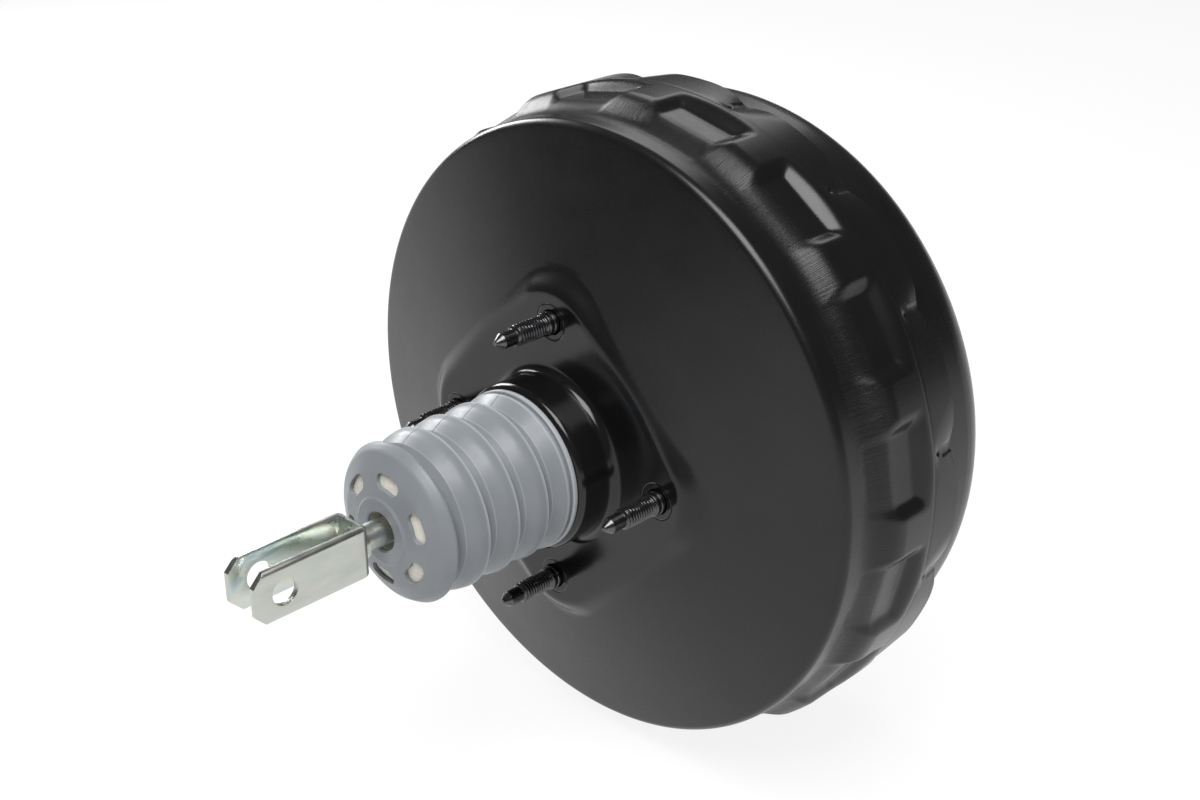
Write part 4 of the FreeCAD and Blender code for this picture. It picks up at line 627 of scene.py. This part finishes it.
def sector_angles():
    """Angles from a pocket's middle to the next, finer where the crimp is."""
    half = math.pi / POCKETS * SKIRT_R
    spots = [FIRST_COLUMN + FINE_STEP * k for k in range(FINE_COUNT)]
    place = spots[-1]
    while place < half - LAST_GAP:
        place += STEP if place < COARSE_FROM else COARSE_STEP
        spots.append(place)
    spots[-1] = half
    return [-s / SKIRT_R for s in reversed(spots[:-1])] + [s / SKIRT_R for s in spots]


def crown_places(first):
    """Places of the rows from the wall to the edge, with a close pair at the slit."""
    places = [first]
    while places[-1] < SKIRT_END - ROW_STEP:
        places.append(places[-1] + ROW_STEP)
    places = sorted([y for y in places if abs(y - LANCE) > SLIT_CLEAR] + list(SLIT))
    edge = SKIRT_END - EDGE_ROW
    return [y for y in places if y < edge - 0.05] + [edge, SKIRT_END]


def build_rear_shell():
    columns = [(PHASE + TURN * k / POCKETS + phi, phi)
               for k in range(POCKETS) for phi in sector_angles()]
    rows = []

    def turned_rows(line):
        for r, y in line:
            rows.append([(r * math.cos(a), y, r * math.sin(a)) for a, phi in columns])

    def crown_row(y, inwards):
        row = []
        for a, phi in columns:
            r = crown_radius(y, phi) - inwards
            row.append((r * math.cos(a), y - edge_dip(y, phi), r * math.sin(a)))
        rows.append(row)

    # neck, its lip and its root
    turned_rows(rounded([
        (NECK_BORE, NECK_END + GAUGE, 0), (NECK_BORE, NECK_END, 0.4),
        (NECK_R, NECK_END, 2.6), (NECK_R, 0.0, 4.0), (42.0, 0.0, 0)], 7))
    # pad and cone, with closer rows where the pad's side stands
    radius = PAD_ROWS_START
    while radius < CONE_ROWS_END:
        row = [(radius * math.cos(a), radius * math.sin(a)) for a, phi in columns]
        rows.append([(x, pad_height(x, z), z) for x, z in row])
        near = PAD_SIDE_FROM < radius < PAD_SIDE_TO
        radius += PAD_ROW_STEP if near else CONE_ROW_STEP
    # the corner between cone and wall
    edge = rounded([(CONE_ROWS_END, (CONE_ROWS_END - PAD_HALF) * SLOPE, 0),
                    (WALL_R, CONE_DEPTH, WALL_ROUND), (WALL_R, WALL_END, 0)], 14)
    turned_rows(edge[:-1])
    # the crown with pockets and crimps, its edge, and the inside of the skirt
    slit_row = None
    for y in crown_places(edge[-2][1] + 0.6):
        if y == SLIT[0]:
            slit_row = len(rows)
        crown_row(y, EDGE_ROUND if y == SKIRT_END else 0.0)
    for y in INSIDE_PLACES:
        crown_row(y, GAUGE)

    def skip(j, c):
        return j == slit_row and abs(columns[c][1]) < SLIT_HALF / SKIRT_R

    skin = mesh_object("skin", [point for row in rows for point in row],
                       grid_faces(len(rows), len(columns), skip), 42.0)
    skin.data.flip_normals()
    inside = lathe("inside", rounded([
        (NECK_BORE, NECK_END + GAUGE, 0), (NECK_R - GAUGE, NECK_END + GAUGE, 1.2),
        (NECK_R - GAUGE, GAUGE, 5.2), (PAD_HALF - 0.7, GAUGE, 0),
        (WALL_R - GAUGE, CONE_DEPTH + GAUGE, 4.5), (WALL_R - GAUGE, 34.0, 0)], 6), 96)
    return join("rear_shell_dressed", [skin, inside])


piece(build_rear_shell(), "shell_paint", "housing", "rear_shell")


# Studs

THREAD_R, THREAD_PITCH, THREAD_STEP = 4.0, 1.25, 0.14
THREAD_FLAT, THREAD_FLANK, THREAD_FADE, FADED_DEPTH = 0.12, 0.76, 1.1, 0.12


def threaded(spot, before, thread, after, side, columns=36):
    """A stud: the turned line before the thread, the thread, the line after it.

    thread is (start, end, depth); side is the way that the stud points along Y.
    """
    start, end, depth = thread
    length_on = abs(end - start)
    steps = int(length_on / THREAD_STEP)
    verts = ring_points(before, columns)
    for s in range(steps + 1):
        along = length_on * s / steps
        y = start + side * along
        fade = min(ease(along / THREAD_FADE), ease((length_on - along) / THREAD_FADE))
        for c in range(columns):
            turn = (along / THREAD_PITCH + side * c / columns) % 1.0
            wave = abs(turn - 0.5) * 2
            flank = min(max((wave - THREAD_FLAT) / THREAD_FLANK, 0.0), 1.0)
            r = THREAD_R - depth * (1 - flank) * fade - depth * FADED_DEPTH * (1 - fade)
            a = TURN * c / columns
            verts.append((r * math.cos(a), y, r * math.sin(a)))
    verts += ring_points(after, columns)
    obj = mesh_object("stud", [(x + spot[0], y, z + spot[1]) for x, y, z in verts],
                      grid_faces(len(verts) // columns, columns), 32.0)
    outward(obj)
    return obj


def rear_stud(k):
    a = TURN * k / 4
    spot = (STUD_CIRCLE * math.cos(a), STUD_CIRCLE * math.sin(a))
    before = rounded([(0.01, 7.5, 0), (7.5, 7.5, 0.5), (7.5, 4.5, 0.3), (5.0, 4.5, 0),
                      (5.0, 0.0, 0), (4.5, 0.0, 0), (4.5, -1.5, 0.15), (4.15, -1.75, 0.1),
                      (4.15, -2.1, 0.1), (4.5, -2.35, 0.15), (4.5, -3.9, 0.3),
                      (4.0, -4.2, 0)], 3)
    after = rounded([(3.6, -18.25, 0), (3.0, -18.8, 0.2), (3.0, -24.6, 0.35),
                     (1.0, -27.45, 0.4), (0.01, -27.6, 0)], 4)
    return threaded(spot, before, (-4.25, -18.1, 0.8), after, -1)


def front_stud(k):
    spot = (46.0 * (1 - 2 * k), 0.0)
    before = rounded([(0.01, 120.3, 0), (7.5, 120.3, 0.5), (7.5, 123.3, 0.3),
                      (5.0, 123.3, 0), (5.0, 128.0, 0), (4.0, 128.0, 0)], 3)
    after = rounded([(3.7, 152.3, 0), (3.0, 153.0, 0.2), (0.01, 153.0, 0)], 3)
    return threaded(spot, before, (128.0, 152.0, 0.68), after, 1)


for name, stud, count in (("rear_studs", rear_stud, 4), ("front_studs", front_stud, 2)):
    piece(join(name + "_dressed", [stud(k) for k in range(count)]), "stud_black",
          "housing", name)


# Bellows: the lip in the neck, the folds between GROOVE and DEEP, and the cup,
# which rides with the piston

GROOVE, DEEP = -19.75, -70.7
BOOT_COLUMNS, BOOT_SHARP, BOOT_GAUGE = 168, 60, 1.7
CRESTS = (-31.2, -45.2, -59.2)
CUP_GAP = 0.03
SLOTS, SLOT_PHASE, SLOT_CIRCLE = 6, math.radians(22), 19.0
SLOT_LONG, SLOT_WIDE = 5.8, 2.95
SLOT_PLACES = (-77.0, -86.0)


def tube(name, line, gauge):
    """A thin walled turned form: the line outside, moved in by its gauge inside."""
    inner = []
    for k, (r, y) in enumerate(line):
        before = Vector(line[max(k - 1, 0)])
        after = Vector(line[min(k + 1, len(line) - 1)])
        way = (after - before).normalized()
        inner.append((r - gauge * max(abs(way.y), 0.55), y))
    return lathe(name, line + inner[::-1], BOOT_COLUMNS, loop=True, sharp=BOOT_SHARP)


def slot_cutter(k):
    """A rounded slot, curved along its circle."""
    middle = SLOT_PHASE + TURN * k / SLOTS
    reach = SLOT_LONG - SLOT_WIDE
    edge = []
    for way in (1, -1):
        edge += [(SLOT_CIRCLE + way * SLOT_WIDE,
                  middle + way * reach * (s / 6 - 1) / SLOT_CIRCLE) for s in range(13)]
        for s in range(1, 9):
            bend = way * math.pi / 2 - math.pi * s / 9
            edge.append((SLOT_CIRCLE + SLOT_WIDE * math.sin(bend),
                         middle + (way * reach + SLOT_WIDE * math.cos(bend)) / SLOT_CIRCLE))
    count = len(edge)
    verts = [(r * math.cos(a), y, r * math.sin(a)) for y in SLOT_PLACES for r, a in edge]
    faces = [tuple(range(count)), tuple(range(2 * count - 1, count - 1, -1))]
    for c in range(count):
        n = (c + 1) % count
        faces.append((c, count + c, count + n, n))
    obj = mesh_object("cutter", verts, faces)
    outward(obj)
    return obj


lip_line = rounded([
    (27.0, -15.6, 0), (25.3, -13.9, 0.3), (29.2, -13.95, 0.5), (29.2, -15.5, 0.3),
    (26.95, -15.6, 0), (26.95, -17.1, 0), (31.0, -17.1, 0.5), (31.1, -19.0, 0.5),
    (29.4, -19.3, 0.3), (29.4, GROOVE, 0), (25.2, GROOVE, 0), (25.2, -15.6, 0)], 4)
boot_lip = lathe("boot_lip", lip_line, BOOT_COLUMNS, loop=True, sharp=BOOT_SHARP)
piece(boot_lip, "boot_rubber", "housing", "boot")

folds = [(29.4, GROOVE, 0), (29.4, -20.3, 0.2), (30.5, -20.5, 0.35), (30.6, -21.6, 0.5),
         (29.6, -23.2, 3.0), (27.5, -26.6, 0.25), (24.8, -29.0, 0.4)]
for crest in CRESTS:
    folds += [(30.6, crest, 0.22), (29.95, crest - 4.2, 8.0), (27.5, crest - 8.5, 0.2)]
    if crest != CRESTS[-1]:
        folds += [(24.6, crest - 11.7, 0.4)]
folds += [(24.3, DEEP + 0.3, 0.3), (24.2, DEEP, 0)]
boot_folds = tube("boot_folds", rounded(folds, 7), BOOT_GAUGE)
piece(boot_folds, "boot_rubber", "housing", "boot")
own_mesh(boot_folds)

cup_line = rounded([
    (24.2, DEEP - CUP_GAP, 0), (24.3, DEEP - 0.4, 0.4), (29.4, -73.0, 0.8),
    (30.1, -73.7, 0.25), (30.1, -74.4, 0.25), (29.5, -75.4, 0.8), (28.0, -77.6, 4.0),
    (21.9, -80.7, 9.0), (13.2, -82.6, 1.5), (12.2, -83.45, 0.35), (8.0, -83.5, 0.3),
    (7.3, -83.0, 0.2), (7.3, -81.9, 0.2), (12.0, -81.2, 1.0), (21.2, -79.25, 3.0),
    (26.3, -76.7, 1.5), (28.3, -74.7, 0.8), (27.7, -73.9, 0.6), (23.2, -71.9, 0.6),
    (21.15, -71.0, 0.3), (21.15, -67.8, 0), (22.0, -67.8, 0.3), (22.1, DEEP + 0.5, 0),
    (22.5, DEEP - CUP_GAP, 0)], 6)
boot_cup = lathe("boot_cup", cup_line, BOOT_COLUMNS, loop=True, sharp=BOOT_SHARP)
cutters = join("slot_cutters", [slot_cutter(k) for k in range(SLOTS)])
cut = boot_cup.modifiers.new("slots", "BOOLEAN")
cut.operation = "DIFFERENCE"
cut.solver = "EXACT"
cut.object = cutters
apply_modifiers(boot_cup)
boot_cup.data.set_sharp_from_angle(angle=math.radians(45))
bpy.data.objects.remove(cutters)
piece(boot_cup, "boot_rubber", "power_piston", "boot")

# the felt behind the slots
felt_line = rounded([
    (8.4, -73.4, 0.3), (8.4, -81.0, 0.3), (12.0, -81.05, 1.5), (21.0, -79.15, 2.0),
    (23.4, -77.8, 0.6), (23.4, -73.4, 0.3), (8.4, -73.4, 0)], 4)[:-1]
felt_ring = lathe("felt_ring", felt_line, 96, loop=True, sharp=60)
piece(felt_ring, "felt", "power_piston", "boot_felt")


# Springs

WIRE_SIDES, CLOSED_TURNS = 12, 0.6


def spring(name, radius, wire, turns, start, end, centre=(0, 0), steps=36):
    """A coil from start to end whose first and last turns lie flat."""
    low, high = start + wire / 2, end - wire / 2
    count = int(turns * steps)
    verts, faces = [], []
    for k in range(count + 1):
        turn = k / steps
        share = min(max((turn - CLOSED_TURNS) / (turns - 2 * CLOSED_TURNS), 0.0), 1.0)
        place = low + (high - low) * share
        a = TURN * turn
        for s in range(WIRE_SIDES):
            b = TURN * s / WIRE_SIDES
            out = radius + wire / 2 * math.cos(b)
            verts.append((centre[0] + out * math.cos(a), place + wire / 2 * math.sin(b),
                          centre[1] + out * math.sin(a)))
    for k in range(count):
        here, ahead = k * WIRE_SIDES, (k + 1) * WIRE_SIDES
        for s in range(WIRE_SIDES):
            n = (s + 1) % WIRE_SIDES
            faces.append((here + s, ahead + s, ahead + n, here + n))
    faces.append(tuple(range(WIRE_SIDES)))
    faces.append(tuple(range((count + 1) * WIRE_SIDES - 1, count * WIRE_SIDES - 1, -1)))
    obj = mesh_object(name, verts, faces, 60)
    outward(obj)
    return obj


return_spring = spring("return_spring_coil", 36.0, 3.5, 6.5, 12.4, 123.25)
piece(return_spring, "spring_steel", "housing", "return_spring")
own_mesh(return_spring)
input_spring = spring("input_spring_coil", 12.6, 1.5, 4, -47.0, -33.8)
piece(input_spring, "spring_steel", "power_piston", "input_spring")
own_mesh(input_spring)
poppet_spring = spring("poppet_spring_coil", 11.4, 1.2, 4, -32.5, -17.15)
piece(poppet_spring, "spring_steel", "power_piston", "poppet_spring")
check_spring = spring("check_spring_coil", 5.2, 0.75, 5, 118.95, 127.5,
                      centre=(-70.005, 51.991), steps=24)
piece(check_spring, "spring_steel", "housing", "check_valve_spring")
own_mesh(check_spring)


# Diaphragm, clevis and the nodes that stay as the source made them

diaphragm = cad_copy("diaphragm_skin", "diaphragm")
dress(diaphragm, "black_rubber")
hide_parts("diaphragm")
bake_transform(diaphragm)

piece(cad_copy("clevis_dressed", "clevis", bevel=0.25), "zinc_plate", "pedal_rod",
      "clevis")

KEPT = {
    "front_paint": ("front_shell",),
    "pressed_steel": ("rear_plate", "front_plate", "seal_retainer", "stop_key",
                      "diaphragm_plate", "poppet_retainer", "rod_washer"),
    "black_rubber": ("front_ring", "neck_seal", "check_valve_grommet", "poppet_valve",
                     "reaction_disc", "check_valve_disc"),
    "zinc_plate": ("output_rod", "output_rod_tip", "input_rod"),
    "spring_steel": ("output_clip",),
    "bush_plastic": ("guide_bush",),
    "valve_plastic": ("check_valve_body",),
    "housing_plastic": ("valve_body",),
    "foam": ("air_filter",),
    "plunger_metal": ("valve_plunger",),
}
for finish, names in KEPT.items():
    for name in names:
        dress(nodes[name], finish)


# Floor and light

WORLD_STRENGTH = 0.10
FLOOR_SIDE, FLOOR_PLACE = 30, -0.1312
FLOOR_GLOW, FLOOR_SHADE = 0.88, 0.16


def floor_material():
    """White to camera, glossy and transmission rays, with the object's shadow;
    plain light grey to all others."""
    mat, tree, lit = graph("floor")
    lit.inputs["Base Color"].default_value = (0.8, 0.8, 0.8, 1)
    lit.inputs["Roughness"].default_value = 0.9
    lit.inputs["Specular IOR Level"].default_value = 0.0
    glow = add(tree, "ShaderNodeEmission", Color=(1, 1, 1, 1), Strength=FLOOR_GLOW)
    shade = add(tree, "ShaderNodeBsdfDiffuse",
                Color=(FLOOR_SHADE, FLOOR_SHADE, FLOOR_SHADE, 1))
    white = tree.nodes.new("ShaderNodeAddShader")
    tree.links.new(glow.outputs["Emission"], white.inputs[0])
    tree.links.new(shade.outputs["BSDF"], white.inputs[1])
    path = tree.nodes.new("ShaderNodeLightPath")
    seen = math_node(tree, "MAXIMUM", path.outputs["Is Camera Ray"],
                     math_node(tree, "MAXIMUM", path.outputs["Is Glossy Ray"],
                               path.outputs["Is Transmission Ray"]))
    mix = tree.nodes.new("ShaderNodeMixShader")
    tree.links.new(seen, mix.inputs["Fac"])
    tree.links.new(lit.outputs["BSDF"], mix.inputs[1])
    tree.links.new(white.outputs["Shader"], mix.inputs[2])
    tree.links.new(mix.outputs["Shader"], tree.nodes["Material Output"].inputs["Surface"])
    return mat


def softbox(name, place, target, width, height, power):
    """A rectangular lamp at place that faces target, in metres and watts."""
    light = bpy.data.lights.new(name, "AREA")
    light.shape = "RECTANGLE"
    light.size, light.size_y = width, height
    light.energy = power
    obj = bpy.data.objects.new(name, light)
    obj.location = place
    way = Vector(target) - Vector(place)
    obj.rotation_euler = way.to_track_quat("-Z", "Y").to_euler()
    bpy.context.scene.collection.objects.link(obj)


world = bpy.data.worlds.new("studio")
world.use_nodes = True
bpy.context.scene.world = world
backdrop = world.node_tree.nodes["Background"]
backdrop.inputs["Color"].default_value = (1, 1, 1, 1)
backdrop.inputs["Strength"].default_value = WORLD_STRENGTH

bpy.ops.mesh.primitive_grid_add(x_subdivisions=4, y_subdivisions=4, size=FLOOR_SIDE,
                                location=(0, 0, FLOOR_PLACE))
floor = bpy.context.object
floor.name = "floor"
floor.data.materials.append(floor_material())

softbox("left", (-1.28, 0.22, 0.54), (0, 0, 0), 0.5, 0.5, 12)
softbox("top_back", (-0.55, 0.83, 0.83), (0, 0.03, 0), 0.6, 0.5, 2.0)
softbox("overhead", (0.37, -0.44, 1.10), (0, 0, 0), 0.8, 0.8, 17)


# Camera, as fitted to the photo: where it stands round and above the booster,
# its distance, and its shift to the right and up, in metres

SENSOR, LENS = 36.0, 51.384
BEARING, HEIGHT = math.radians(44.534), math.radians(25.602)
DISTANCE, SHIFT_RIGHT, SHIFT_UP = 0.649298, 0.017975, 0.020202

camera = bpy.data.cameras.new("camera")
camera.sensor_width = SENSOR
camera.lens = LENS
camera_object = bpy.data.objects.new("camera", camera)
bpy.context.scene.collection.objects.link(camera_object)
right = Vector((math.cos(BEARING), math.sin(BEARING), 0))
back = Vector((math.sin(BEARING) * math.cos(HEIGHT),
               -math.cos(BEARING) * math.cos(HEIGHT), math.sin(HEIGHT)))
up = back.cross(right)
eye = back * DISTANCE + right * SHIFT_RIGHT + up * SHIFT_UP
camera_object.matrix_world = Matrix((
    (right.x, up.x, back.x, eye.x), (right.y, up.y, back.y, eye.y),
    (right.z, up.z, back.z, eye.z), (0, 0, 0, 1)))
bpy.context.scene.camera = camera_object
bpy.context.scene.view_settings.view_transform = "Standard"
